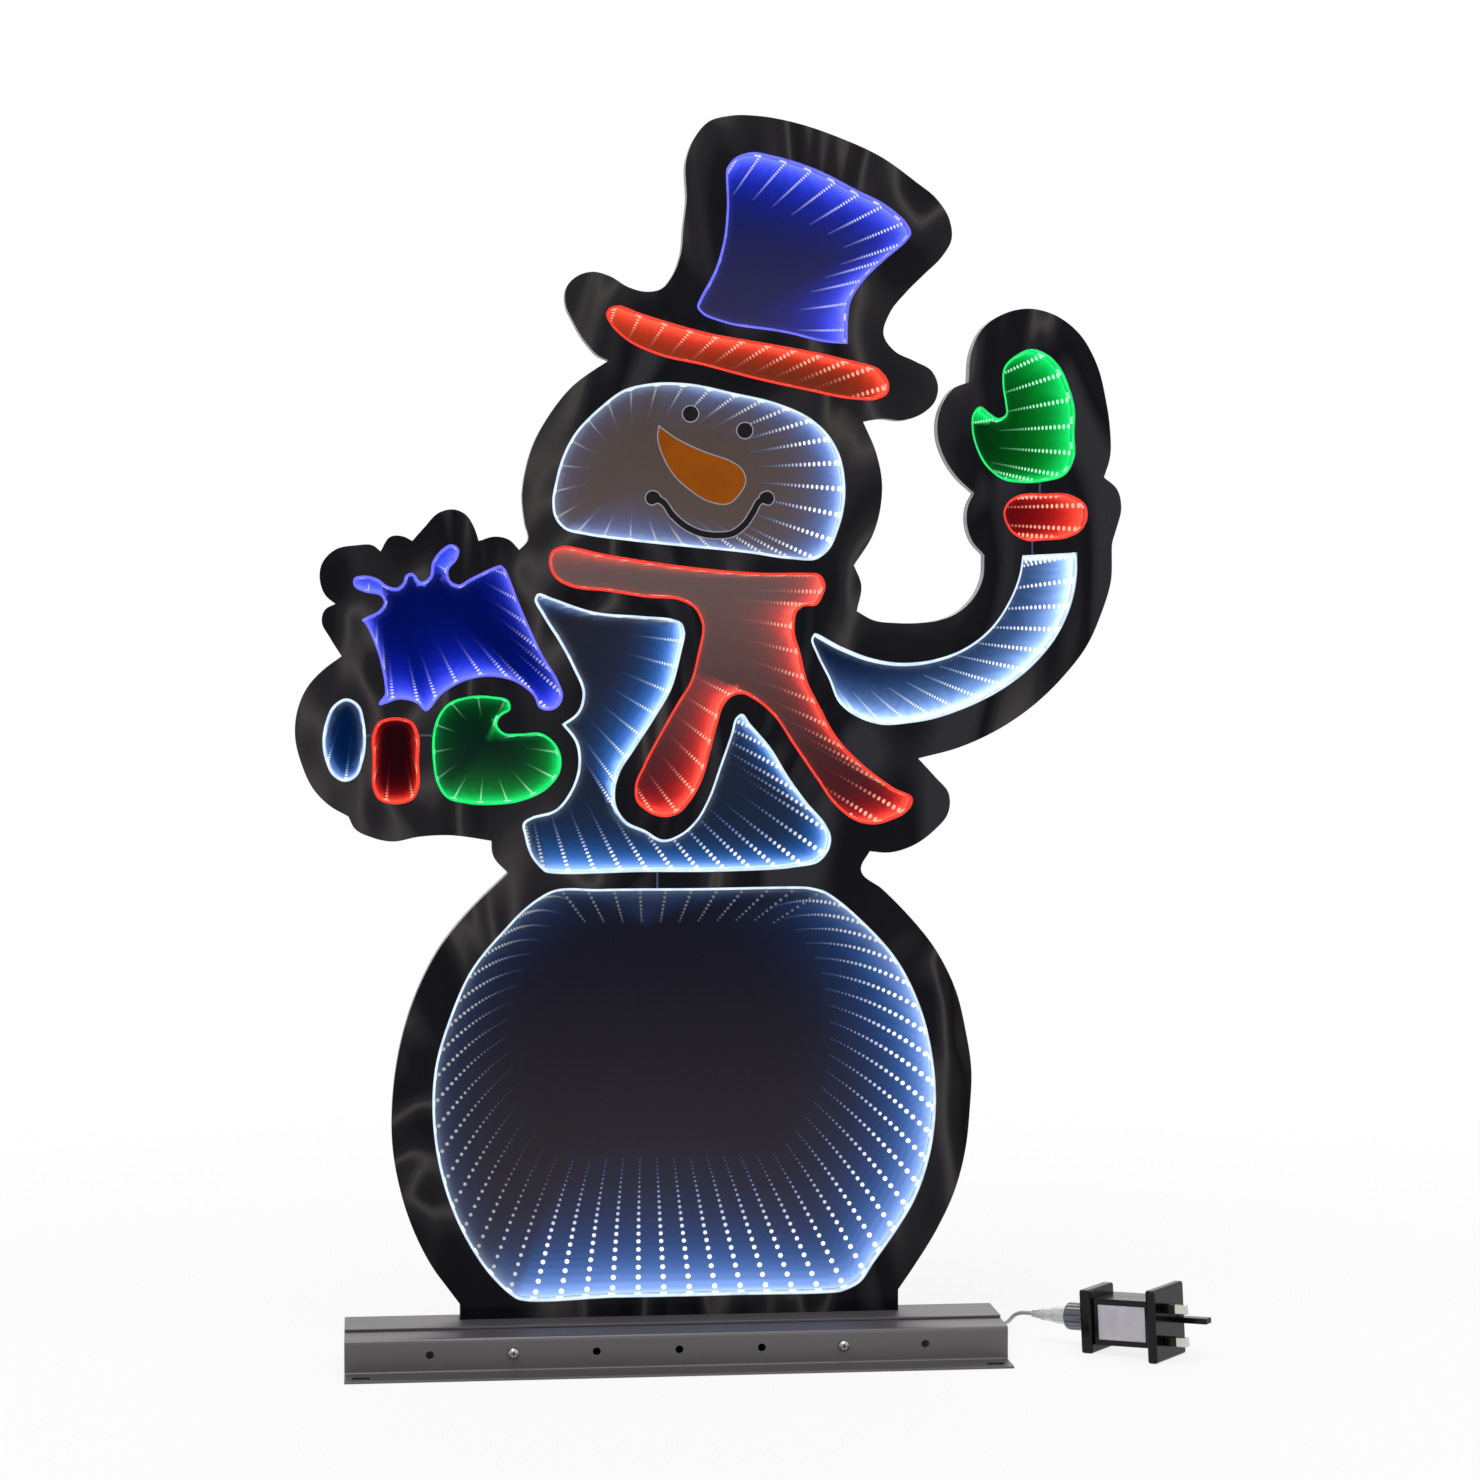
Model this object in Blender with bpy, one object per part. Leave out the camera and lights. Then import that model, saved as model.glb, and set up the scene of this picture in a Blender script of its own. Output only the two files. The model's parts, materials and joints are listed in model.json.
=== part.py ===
"""Free-standing infinity-mirror snowman light with its low-voltage lead and plug-in adapter.

Lengths are millimetres in the named sizes and become metres in the meshes. X runs to the right, Y away
from the viewer and Z up, with the front of the panel facing -Y. Outline points are (x, z), measured from
the middle of the base and from the floor, at the scale of the base's front face, and a third value marks a
sharp corner. The panel stands farther back, so on_panel() stretches and moves its points.
"""
import math

import bmesh
import bpy
from mathutils import Vector
from mathutils.geometry import intersect_line_line_2d, tessellate_polygon

MM = 0.001
CLEARANCE = 0.3
FLOOR_GAP = 0.1
CUT_OVERRUN = 3.0
SHARP = 1

# Panel sandwich
FRONT_SHEET = 2.0
CORE_THICKNESS = 11.0
REAR_SHEET = 2.0
PANEL_STRETCH = (1.022, 1.017)
PANEL_SHIFT = (5.0, -13.6)
OUTLINE_STEP = 16.0
WINDOW_STEP = 16.0
SLOPE_REACH = 1.5

# Lining strips and trim
STRIP_WIDTH = 8.0
STRIP_THICKNESS = 1.2
TRIM_THICKNESS = 0.4
EYE_RADIUS = 6.0
EYE_SIDES = 20
MOUTH_HALF_WIDTH = 2.8
MOUTH_END_RADIUS = 5.4
TRIM_STEP = 7.0

# Wiring inside the core
GROOVE_WIDTH = 2.4
GROOVE_DEPTH = 2.6
JUMPER_DIAMETER = 1.4
FEED_DIAMETER = 2.0
FEED_GROOVE_WIDTH = 3.0
FEED_HOLE_DIAMETER = 5.0
FEED_BEND = 4.0

# Base of two folded rails
BASE_LENGTH = 450.0
SHEET = 1.6
BEND_RADIUS = 1.0
FRONT_FLANGE = 24.0
REAR_FLANGE = 40.0
FACE_TO_STEP = 28.0
FACE_TO_PANEL = 52.0
PANEL_TO_REAR_FACE = 5.0
STEP_OVERLAP = 8.0
FRONT_TOP_HEIGHT = 24.0
HOLE_COUNT = 7
HOLE_PITCH = 56.0
HOLE_DIAMETER = 5.3
HOLE_HEIGHT = 13.0
SLOT_LENGTH = 11.5
SLOT_WIDTH = 6.0
SLOT_FROM_END = 11.0
PEG_SLOT_FROM_EDGE = 10.0
TAB_BOTTOM = 4.0

# Clamp screws through both rails and the panel
CLAMP_HOLES_FROM_MIDDLE = 2
SCREW_DIAMETER = 4.0
SCREW_HEAD_DIAMETER = 8.0
SCREW_HEAD_HEIGHT = 2.6
SCREW_CROWN_SHARE = 0.55
SCREW_SHOULDER_SHARE = 0.9
SCREW_END = 5.0
NUT_ACROSS = 8.0
NUT_HEIGHT = 3.4

# Lead
CORD_DIAMETER = 3.0
GLAND_X = 25.0
GLAND_BODY_DIAMETER = 8.0
GLAND_HEAD_DIAMETER = 12.0
GLAND_HEAD_LENGTH = 5.0
GLAND_TAIL_LENGTH = 12.0
GLAND_TAIL_WALL = 1.0
GLAND_TAPER = 0.9
COIL_OUTER_RADIUS = 23.3
COIL_CENTRE = (GLAND_X - COIL_OUTER_RADIUS, 102.0)
COIL_PITCH = 3.55
COIL_TURNS_PER_LAYER = 3
COIL_LAYERS = 4
COIL_POINTS_PER_TURN = 24
CLIMB_TURNS = 0.5
TIE_THICKNESS = 0.8
TIE_WIDTH = 6.0
TIE_SLACK = 0.7

# Connector on the end of the lead, along the adapter's own axis
SPIGOT_DIAMETER = 14.5
SPIGOT_LENGTH = 12.0
SPIGOT_WALL = 2.65
SPIGOT_BORE_DEPTH = 10.0
COLLAR_FIT = 0.4
COLLAR_LENGTH = 14.0
COLLAR_STANDOFF = 4.0
COLLAR_WALL = 1.5
COLLAR_RIBS = 18
COLLAR_RIB_DEPTH = 0.6
COLLAR_CHAMFER = 1.5
CONNECTOR_FLANGE_LENGTH = 2.2
CONNECTOR_DIAMETER = 12.0
CONNECTOR_TAIL_DIAMETER = 8.6
CONNECTOR_LENGTH = 21.0
CONNECTOR_NECK_SHARE = 0.45
CONNECTOR_TAPER_SHARE = 0.6
CONNECTOR_TAIL_SWELL = 1.15
NOSE_FIT = 0.5
NOSE_LENGTH = 8.0
RELIEF_LENGTH = 9.0
RELIEF_RIBS = 4
RELIEF_DIAMETER = 7.4
RELIEF_GROOVE = 0.9
RELIEF_TAPER = 0.35
SEAL_SECTION = 0.9
SEAL_INSET = 0.6

# Plug-in adapter
END_PLATE = (8.7, 36.0, 44.0)
CASE = (44.0, 29.0, 32.0)
PIN_PLATE = (7.0, 45.0, 50.0)
CASE_WALL = 2.0
CORNER_RADIUS = 1.6
LABEL_SIZE = (36.0, 24.0)
PIN_SPREAD = 22.2
EARTH_OFFSET = 22.2
POWER_PIN = (17.7, 6.35, 4.0)
EARTH_PIN = (22.7, 4.0, 8.0)
PIN_EDGE = 0.6
PIN_ROW_SHIFT = 2.0
BOARD = (36.0, 1.6, 24.0)
BOARD_SEAT = 3.0
TRANSFORMER = (18.0, 9.0, 16.0)
TRANSFORMER_EDGE = 0.8
ADAPTER_FROM_BASE = 65.0
ADAPTER_SEAT_Y = -12.0
ADAPTER_TURN = math.radians(-40.0)

# Places worked out from the sizes above
PANEL_THICKNESS = FRONT_SHEET + CORE_THICKNESS + REAR_SHEET
BASE_DEPTH = FRONT_FLANGE + FACE_TO_PANEL + PANEL_THICKNESS + PANEL_TO_REAR_FACE + REAR_FLANGE
FLANGE_FRONT = -BASE_DEPTH / 2
FACE_FRONT = FLANGE_FRONT + FRONT_FLANGE
STEP_FRONT = FACE_FRONT + FACE_TO_STEP
PANEL_FRONT = FACE_FRONT + FACE_TO_PANEL
CORE_FRONT = PANEL_FRONT + FRONT_SHEET
CORE_BACK = CORE_FRONT + CORE_THICKNESS
PANEL_BACK = CORE_BACK + REAR_SHEET
CORE_MIDDLE = (CORE_FRONT + CORE_BACK) / 2
REAR_FACE = PANEL_BACK + PANEL_TO_REAR_FACE
FLANGE_BACK = REAR_FACE + REAR_FLANGE
REAR_TOP_HEIGHT = FRONT_TOP_HEIGHT + CLEARANCE + SHEET
BASE_END = BASE_LENGTH / 2
CLAMP_X = CLAMP_HOLES_FROM_MIDDLE * HOLE_PITCH
CORD_RADIUS = CORD_DIAMETER / 2
GLAND_END = REAR_FACE + CLEARANCE + GLAND_HEAD_LENGTH + GLAND_TAIL_LENGTH
COIL_INNER_RADIUS = COIL_OUTER_RADIUS - COIL_PITCH * COIL_TURNS_PER_LAYER
COIL_HEIGHT = FLOOR_GAP + TIE_THICKNESS + CLEARANCE + CORD_RADIUS
SPIGOT_BORE = SPIGOT_DIAMETER - 2 * SPIGOT_WALL
NOSE_DIAMETER = SPIGOT_BORE - 2 * NOSE_FIT
COLLAR_BORE = SPIGOT_DIAMETER + 2 * COLLAR_FIT
COLLAR_DIAMETER = COLLAR_BORE + 2 * (COLLAR_WALL + COLLAR_RIB_DEPTH)
CASE_START = END_PLATE[0] + CLEARANCE
PLATE_START = CASE_START + CASE[0] + CLEARANCE
PLUG_FACE = PLATE_START + PIN_PLATE[0]
ADAPTER_TILT = math.atan((PIN_PLATE[2] - END_PLATE[2]) / 2 / PLATE_START)
ADAPTER_HEIGHT = END_PLATE[2] / 2 * math.cos(ADAPTER_TILT) + FLOOR_GAP
COLLAR_BACK = -COLLAR_STANDOFF - COLLAR_LENGTH
FLANGE_START = -SPIGOT_LENGTH - 2 * CLEARANCE - SEAL_SECTION
CONNECTOR_END = COLLAR_BACK - CONNECTOR_LENGTH
RELIEF_END = CONNECTOR_END - RELIEF_LENGTH

# The panel's outline, from the left end of its foot round to the right end
OUTLINE = [
    (-148, 49, SHARP), (-156, 60), (-166, 74), (-179, 100), (-189, 133), (-193, 160), (-193, 183),
    (-188, 222), (-176, 261), (-161, 290), (-138, 318), (-115, 340, SHARP), (-125, 352),
    (-126, 362, SHARP),
    (-155, 366), (-175, 365), (-192, 362), (-206, 365), (-217, 371), (-221, 379, SHARP), (-233, 386),
    (-243, 396), (-252, 415), (-256, 434), (-255, 447), (-248, 465), (-236, 478), (-225, 486, SHARP),
    (-233, 499), (-238, 509), (-236, 517), (-229, 521, SHARP), (-235, 526), (-239, 536), (-238, 547),
    (-229, 557), (-215, 560), (-204, 560), (-199, 556, SHARP), (-192, 566), (-184, 566),
    (-178, 563, SHARP), (-170, 572), (-160, 582), (-150, 584), (-143, 581), (-137, 572),
    (-134, 563, SHARP), (-123, 566), (-114, 564), (-107, 557, SHARP), (-101, 564), (-103, 574),
    (-105, 594), (-103, 609), (-97, 629), (-87, 647), (-72, 666), (-47, 684, SHARP), (-54, 687),
    (-64, 698), (-71, 710), (-76, 722), (-75, 733), (-68, 740), (-58, 743), (-46, 740), (-34, 733),
    (-21, 730), (-12, 732), (-5, 740), (1, 755), (3, 774),
    (5, 791), (5, 819), (11, 834), (20, 844), (34, 848), (55, 848), (78, 844), (109, 834), (136, 822),
    (159, 806), (174, 794), (183, 779), (184, 767), (178, 756), (165, 743), (153, 731), (142, 717),
    (138, 702), (145, 692), (159, 685), (171, 678), (175, 668), (173, 658), (165, 650), (151, 645),
    (136, 646), (124, 644, SHARP), (133, 623), (137, 603), (136, 586), (131, 568), (118, 547, SHARP),
    (123, 534), (120, 516, SHARP), (131, 510), (147, 508), (163, 508), (177, 510), (189, 515),
    (199, 524), (206, 538), (207, 554, SHARP), (199, 563), (195, 575), (196, 588), (200, 596, SHARP),
    (189, 606), (180, 619), (175, 634), (175, 646), (179, 658), (186, 667), (196, 671, SHARP),
    (198, 692), (206, 708), (219, 717), (237, 721), (252, 718), (270, 706), (284, 683), (290, 660),
    (293, 640), (293, 620), (289, 607, SHARP), (298, 599), (301, 586), (298, 573), (295, 563),
    (294, 536), (287, 513), (278, 493), (262, 472), (240, 451), (216, 435), (189, 423),
    (162, 416, SHARP), (174, 403), (183, 392), (183, 380), (172, 366), (157, 356), (142, 352),
    (129, 353, SHARP), (123, 341), (138, 327), (152, 313), (174, 286), (188, 258), (195, 230),
    (199, 203), (198, 176), (195, 148), (188, 121), (175, 93), (158, 66), (149, 53, SHARP),
]

WINDOWS = {
    "hat": [
        (32, 813), (36, 819), (47, 824), (64, 822), (91, 814), (120, 800), (140, 790), (154, 778),
        (157, 771), (153, 765), (138, 752), (124, 738), (116, 725), (114, 710), (114, 696, SHARP),
        (99, 697), (72, 703), (32, 709), (16, 715), (12, 720), (14, 726), (24, 745), (30, 766), (32, 788),
    ],
    "brim": [
        (-49, 715), (-47, 719), (-41, 721), (-26, 716), (16, 704), (68, 695), (109, 687), (136, 679),
        (142, 670), (141, 663), (134, 659), (116, 659), (89, 664), (47, 673), (16, 681), (-15, 688),
        (-36, 698), (-46, 708),
    ],
    "face": [
        (-85, 590), (-83, 602), (-79, 617), (-70, 635), (-54, 652), (-36, 665), (-19, 669), (7, 669),
        (37, 663), (67, 656), (89, 646), (101, 635), (108, 623), (112, 606), (112, 589), (108, 572),
        (101, 557), (93, 551), (76, 551), (47, 555), (7, 559), (-32, 563), (-62, 567), (-77, 571), (-83, 578),
    ],
    "scarf": [
        (-87, 546), (-85, 557), (-78, 560), (-52, 555), (-22, 550), (17, 545), (57, 542), (87, 542),
        (95, 541), (99, 534), (97, 526), (93, 520), (84, 519), (80, 516), (78, 503), (82, 488),
        (87, 468), (95, 452), (106, 432), (127, 410), (146, 396), (159, 388), (155, 380), (144, 374),
        (132, 371), (121, 373), (106, 384), (93, 402), (76, 427), (63, 446), (51, 456), (42, 460),
        (35, 458), (30, 452), (26, 440), (21, 421), (15, 401), (7, 387), (-1, 379), (-11, 377),
        (-22, 381), (-29, 388), (-30, 398), (-24, 413), (-13, 434), (-1, 455), (7, 468), (12, 486),
        (15, 508), (10, 518), (1, 523), (-22, 525), (-48, 529), (-72, 532), (-83, 538),
    ],
    "torso": [
        (-97, 524), (-95, 528), (-85, 525), (-58, 516), (-26, 513), (-5, 511), (2, 508), (4, 502),
        (1, 486), (-5, 464), (-17, 443), (-30, 423), (-40, 407), (-43, 396), (-42, 384), (-36, 375),
        (-22, 368), (-11, 362), (1, 366), (11, 375), (19, 389), (27, 411), (35, 434), (38, 444),
        (42, 447), (48, 440), (61, 425), (74, 404), (87, 386), (99, 372), (103, 363), (101, 353),
        (95, 346), (76, 342), (37, 340), (-22, 340), (-91, 341), (-99, 350), (-104, 365), (-105, 374),
        (-99, 378), (-83, 383), (-74, 394), (-68, 412), (-70, 428), (-79, 440, SHARP), (-68, 449),
        (-65, 460), (-72, 479), (-81, 496), (-91, 512),
    ],
    "right_arm": [
        (91, 501), (110, 492), (131, 484), (153, 481), (172, 483), (194, 491), (210, 503), (224, 523),
        (231, 541), (233, 554, SHARP), (271, 556, SHARP), (271, 541), (267, 520), (258, 500), (242, 480),
        (222, 464), (197, 451), (170, 442), (157, 440), (136, 439), (123, 443), (108, 454), (101, 470),
        (93, 486), (89, 497),
    ],
    "right_cuff": [
        (220, 584), (223, 590), (231, 595), (249, 596), (267, 595), (277, 588), (278, 579), (274, 571),
        (265, 566), (249, 564), (235, 564), (225, 570),
    ],
    "right_mitten": [
        (239, 694), (229, 690), (220, 681), (219, 669), (221, 656), (221, 649), (217, 647), (210, 651),
        (204, 655), (199, 650), (198, 640), (201, 627), (209, 613), (220, 605), (233, 603), (249, 604),
        (263, 609), (269, 620), (269, 636), (269, 655), (265, 669), (258, 683), (249, 691),
    ],
    "gift": [
        (-201, 454), (-197, 460), (-200, 484), (-208, 505), (-212, 511, SHARP), (-200, 517), (-197, 522),
        (-199, 526), (-211, 529), (-217, 533), (-217, 538), (-211, 540), (-201, 538), (-194, 533),
        (-188, 532), (-184, 536), (-183, 540), (-178, 542), (-172, 536), (-167, 539), (-165, 549),
        (-158, 558), (-152, 561), (-147, 558), (-148, 551), (-154, 543), (-153, 537), (-148, 534),
        (-140, 538), (-119, 547), (-116, 544), (-104, 514), (-91, 486), (-81, 469), (-78, 458),
        (-82, 451), (-94, 451), (-97, 458), (-109, 468), (-125, 472), (-141, 470), (-158, 461),
        (-170, 449), (-175, 454), (-186, 457),
    ],
    "left_mitten": [
        (-165, 433), (-163, 442), (-155, 454), (-141, 459), (-125, 459), (-114, 456), (-113, 450),
        (-119, 446), (-122, 441), (-118, 435), (-107, 434), (-92, 434), (-83, 427), (-79, 416),
        (-80, 408), (-87, 398), (-104, 389), (-125, 386), (-143, 387), (-156, 391), (-162, 400),
        (-165, 416),
    ],
    "left_cuff": [
        (-205, 416), (-205, 434), (-201, 442), (-193, 445), (-186, 445), (-178, 442), (-174, 434),
        (-174, 416), (-174, 398), (-178, 390), (-186, 387), (-193, 387), (-201, 390), (-205, 398),
    ],
    "left_wrist": [
        (-238, 427), (-236, 442), (-230, 454), (-222, 458), (-214, 454), (-210, 442), (-209, 430),
        (-211, 416), (-216, 405), (-223, 402), (-231, 406), (-236, 416),
    ],
    "body": [
        (-86, 328), (-53, 329), (11, 329), (88, 329), (99, 326), (108, 320), (124, 306), (148, 279),
        (164, 247), (173, 210), (175, 177), (171, 145), (160, 113), (148, 93), (133, 72), (122, 57),
        (111, 52), (38, 51), (-42, 51), (-111, 52), (-126, 66), (-145, 95), (-160, 135), (-166, 178),
        (-164, 210), (-154, 244), (-140, 275), (-118, 302), (-102, 318),
    ],
}

# Jumper wires cross the walls between windows: a point in the wall and the way across it
JUMPERS = {
    "jumper_hat_brim": ((70, 699), (0, 1)),
    "jumper_brim_face": ((16, 675), (0, 1)),
    "jumper_face_scarf": ((37, 550), (0, 1)),
    "jumper_scarf_torso": ((-51, 522), (0, 1)),
    "jumper_torso_body": ((-15, 334), (0, 1)),
    "jumper_scarf_arm": ((87, 488), (1, 0)),
    "jumper_arm_cuff": ((240, 560), (0, 1)),
    "jumper_cuff_mitten": ((245, 600), (0, 1)),
    "jumper_torso_gift": ((-72, 458), (1, 0)),
    "jumper_gift_mitten": ((-141, 464), (0, 1)),
    "jumper_mitten_cuff": ((-169, 433), (1, 0)),
    "jumper_cuff_wrist": ((-207, 433), (1, 0)),
}

EYES = {"left_eye": (7.5, 648.5), "right_eye": (44, 637.5)}
NOSE = [
    (-14, 641, SHARP), (-3, 633), (13, 625), (35, 617), (42, 612), (45, 604), (41, 595), (33, 588),
    (21, 589), (7, 597), (-3, 606), (-11, 619), (-15, 633),
]
MOUTH = [
    (-18, 592), (-12, 590), (-5, 581), (5, 572.5), (16, 568), (25.5, 567), (36, 568.5), (44, 574.5),
    (50, 583.5), (54, 590), (59, 592),
]

# The lead's route over the floor, as (x, y, height of its middle)
RUN_ROUTE = [
    (GLAND_X, GLAND_END + CLEARANCE, HOLE_HEIGHT), (GLAND_X, GLAND_END + 4, HOLE_HEIGHT),
    (GLAND_X, 56, 10), (GLAND_X, 68, 6), (GLAND_X, 80, 3.4), (GLAND_X, 90, 2.9),
]
LEAD_ROUTE = [
    (GLAND_X + 2, 116, 13), (GLAND_X + 7, 127, 12), (GLAND_X + 18, 135, 10), (58, 136, 7),
    (76, 128, 4), (94, 117, 2), (113, 107, 1.6), (134, 100, 1.6), (156, 96, 1.6),
    (BASE_END - 47, 94, 1.6), (BASE_END - 25, 92, 1.6), (BASE_END - 6, 87, 1.6), (BASE_END + 8, 76, 1.7),
    (BASE_END + 14, 62, 3), (BASE_END + 16, 48, 7),
]

MATERIALS = {}


def finish(name, colour, roughness, metallic=0.0):
    """A plain surface of the part's own colour."""
    if name not in MATERIALS:
        material = bpy.data.materials.new(name)
        material.use_nodes = True
        shader = material.node_tree.nodes["Principled BSDF"]
        shader.inputs["Base Color"].default_value = (*colour, 1.0)
        shader.inputs["Roughness"].default_value = roughness
        shader.inputs["Metallic"].default_value = metallic
        MATERIALS[name] = material
    return MATERIALS[name]


def add_object(name, data, parent, material):
    """Puts a mesh or curve in the scene under its parent."""
    obj = bpy.data.objects.new(name, data)
    bpy.context.scene.collection.objects.link(obj)
    obj.parent = parent
    data.materials.append(material)
    return obj


def add_mesh(name, points, faces, parent, material, smooth=False):
    """A closed mesh from points in millimetres, with its faces turned outwards."""
    mesh = bpy.data.meshes.new(name)
    bm = bmesh.new()
    corners = [bm.verts.new(Vector(p) * MM) for p in points]
    for face in faces:
        bm.faces.new([corners[i] for i in face])
    bmesh.ops.recalc_face_normals(bm, faces=bm.faces)
    bm.to_mesh(mesh)
    bm.free()
    if smooth:
        mesh.shade_smooth()
        mesh.set_sharp_from_angle(angle=math.radians(40))
    return add_object(name, mesh, parent, material)


def hermite(a, b, slope_a, slope_b, t):
    """A point between a and b on the cubic that leaves them along the given slopes."""
    t2 = t * t
    t3 = t2 * t
    return (a * (2 * t3 - 3 * t2 + 1) + slope_a * (t3 - 2 * t2 + t)
            + b * (3 * t2 - 2 * t3) + slope_b * (t3 - t2))


def unit_slope(before, here, after):
    """The direction of a smooth curve at a point between two neighbours."""
    back = here - before
    ahead = after - here
    slope = back / back.length ** 2 + ahead / ahead.length ** 2
    return slope.normalized() if slope.length > 0 else ahead.normalized()


def smooth_loop(points, step):
    """A closed outline through points, smooth except at the sharp ones."""
    places = [Vector(p[:2]) for p in points]
    sharp = [len(p) == 3 for p in points]
    count = len(places)
    slopes = [unit_slope(places[i - 1], places[i], places[(i + 1) % count]) for i in range(count)]
    loop = []
    runs = [(places[(i + 1) % count] - places[i]).length for i in range(count)]
    for i in range(count):
        j = (i + 1) % count
        run = places[j] - places[i]
        leave = run.normalized() if sharp[i] else slopes[i]
        arrive = run.normalized() if sharp[j] else slopes[j]
        leave_length = min(run.length, SLOPE_REACH * runs[i - 1])
        arrive_length = min(run.length, SLOPE_REACH * runs[j])
        parts = 1 if sharp[i] and sharp[j] else max(1, round(run.length / step))
        for k in range(parts):
            t = k / parts
            loop.append(hermite(places[i], places[j], leave * leave_length, arrive * arrive_length, t))
    return loop


def on_panel(points):
    """Outline points moved to where they lie on the panel."""
    (wide, tall), (along, up) = PANEL_STRETCH, PANEL_SHIFT
    return [(p[0] * wide + along, p[1] * tall + up, *p[2:]) for p in points]


def turning(loop):
    """Twice the signed area of a loop, positive where it runs anticlockwise."""
    return sum(loop[i - 1].x * loop[i].y - loop[i].x * loop[i - 1].y for i in range(len(loop)))


def inset(loop, distance):
    """The loop moved inwards by a distance, square to its own edges."""
    side = 1 if turning(loop) > 0 else -1
    moved = []
    for i, here in enumerate(loop):
        back = (here - loop[i - 1]).normalized()
        ahead = (loop[(i + 1) % len(loop)] - here).normalized()
        left_back = Vector((-back.y, back.x)) * side
        left_ahead = Vector((-ahead.y, ahead.x)) * side
        middle = (left_back + left_ahead).normalized()
        moved.append(here + middle * distance / max(0.5, middle.dot(left_ahead)))
    return moved


def plate(name, loops, front, back, parent, material):
    """A flat plate between two Y planes. The first loop is its outline and the rest are its openings."""
    flat = [point for loop in loops for point in loop]
    total = len(flat)
    points = [(p.x, front, p.y) for p in flat] + [(p.x, back, p.y) for p in flat]
    faces = []
    for a, b, c in tessellate_polygon([[p.to_3d() for p in loop] for loop in loops]):
        faces.append((a, b, c))
        faces.append((a + total, b + total, c + total))
    start = 0
    for loop in loops:
        count = len(loop)
        for i in range(count):
            a = start + i
            b = start + (i + 1) % count
            faces.append((a, b, b + total, a + total))
        start += count
    return add_mesh(name, points, faces, parent, material)


def swept(name, profile, start, end, parent, material):
    """A (y, z) profile drawn out along X."""
    count = len(profile)
    points = [(start, y, z) for y, z in profile] + [(end, y, z) for y, z in profile]
    faces = [tuple(range(count)), tuple(range(count, 2 * count))]
    for i in range(count):
        j = (i + 1) % count
        faces.append((i, j, j + count, i + count))
    return add_mesh(name, points, faces, parent, material)


def folded(path, radius, segments=3):
    """The (y, z) profile of a sheet folded along a path, with a rounded bend at each inner point."""
    line = [(Vector(path[0]), (Vector(path[1]) - Vector(path[0])).normalized())]
    for before, here, after in zip(path, path[1:], path[2:]):
        back = (Vector(before) - Vector(here)).normalized()
        ahead = (Vector(after) - Vector(here)).normalized()
        bend = radius + SHEET / 2
        for k in range(segments + 1):
            turn = k / segments
            centre = Vector(here) + (back + ahead) * bend
            spoke = (-ahead * math.cos(turn * math.pi / 2) - back * math.sin(turn * math.pi / 2))
            along = (-back * math.cos(turn * math.pi / 2) + ahead * math.sin(turn * math.pi / 2))
            line.append((centre + spoke * bend, along))
    last = (Vector(path[-1]) - Vector(path[-2])).normalized()
    line.append((Vector(path[-1]), last))
    left = [place + Vector((-way.y, way.x)) * SHEET / 2 for place, way in line]
    right = [place - Vector((-way.y, way.x)) * SHEET / 2 for place, way in line]
    return [tuple(p) for p in left + right[::-1]]


def turned(name, profile, parent, material, sides=24, ribs=()):
    """A closed (x, radius) profile turned about X. Radii listed in ribs dip on every other side."""
    points = []
    rings = []
    for index, (x, radius) in enumerate(profile):
        if radius == 0:
            rings.append([len(points)] * sides)
            points.append((x, 0, 0))
            continue
        rings.append(list(range(len(points), len(points) + sides)))
        for k in range(sides):
            angle = 2 * math.pi * k / sides
            deep = radius - COLLAR_RIB_DEPTH * (index in ribs and k % 2)
            points.append((x, deep * math.cos(angle), deep * math.sin(angle)))
    faces = []
    for ring, after in zip(rings, rings[1:] + rings[:1]):
        for k in range(sides):
            m = (k + 1) % sides
            corners = list(dict.fromkeys((ring[k], ring[m], after[m], after[k])))
            if len(corners) > 2:
                faces.append(corners)
    return add_mesh(name, points, faces, parent, material, smooth=True)


def block(name, low, high, parent, material, radius=0.0):
    """A box between two corners, with its edges rounded if a radius is given."""
    points = [(x, y, z) for x in (low[0], high[0]) for y in (low[1], high[1]) for z in (low[2], high[2])]
    faces = [(0, 1, 3, 2), (4, 6, 7, 5), (0, 4, 5, 1), (2, 3, 7, 6), (0, 2, 6, 4), (1, 5, 7, 3)]
    obj = add_mesh(name, points, faces, parent, material)
    if radius:
        rounding = obj.modifiers.new("rounded edges", "BEVEL")
        rounding.width = radius * MM
        rounding.segments = 2
        rounding.limit_method = "NONE"
    return obj


def tube(name, route, radius, parent, material, step, resolution=2):
    """A round cord along a smooth curve through its route, with filled ends."""
    places = [Vector(p) for p in route]
    slopes = [places[1] - places[0]]
    for before, here, after in zip(places, places[1:], places[2:]):
        slopes.append(unit_slope(before, here, after))
    slopes.append(places[-1] - places[-2])
    slopes = [slope.normalized() for slope in slopes]
    line = []
    for i in range(len(places) - 1):
        length = (places[i + 1] - places[i]).length
        parts = max(1, round(length / step))
        for k in range(parts):
            line.append(hermite(places[i], places[i + 1], slopes[i] * length, slopes[i + 1] * length,
                                k / parts))
    line.append(places[-1])
    return polyline_tube(name, line, radius, parent, material, resolution)


def polyline_tube(name, line, radius, parent, material, resolution):
    """A round cord along the given points."""
    curve = bpy.data.curves.new(name, "CURVE")
    curve.dimensions = "3D"
    curve.bevel_depth = radius * MM
    curve.bevel_resolution = resolution
    curve.use_fill_caps = True
    spline = curve.splines.new("POLY")
    spline.points.add(len(line) - 1)
    for point, place in zip(spline.points, line):
        point.co = (*(place * MM), 1.0)
    return add_object(name, curve, parent, material)


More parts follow.
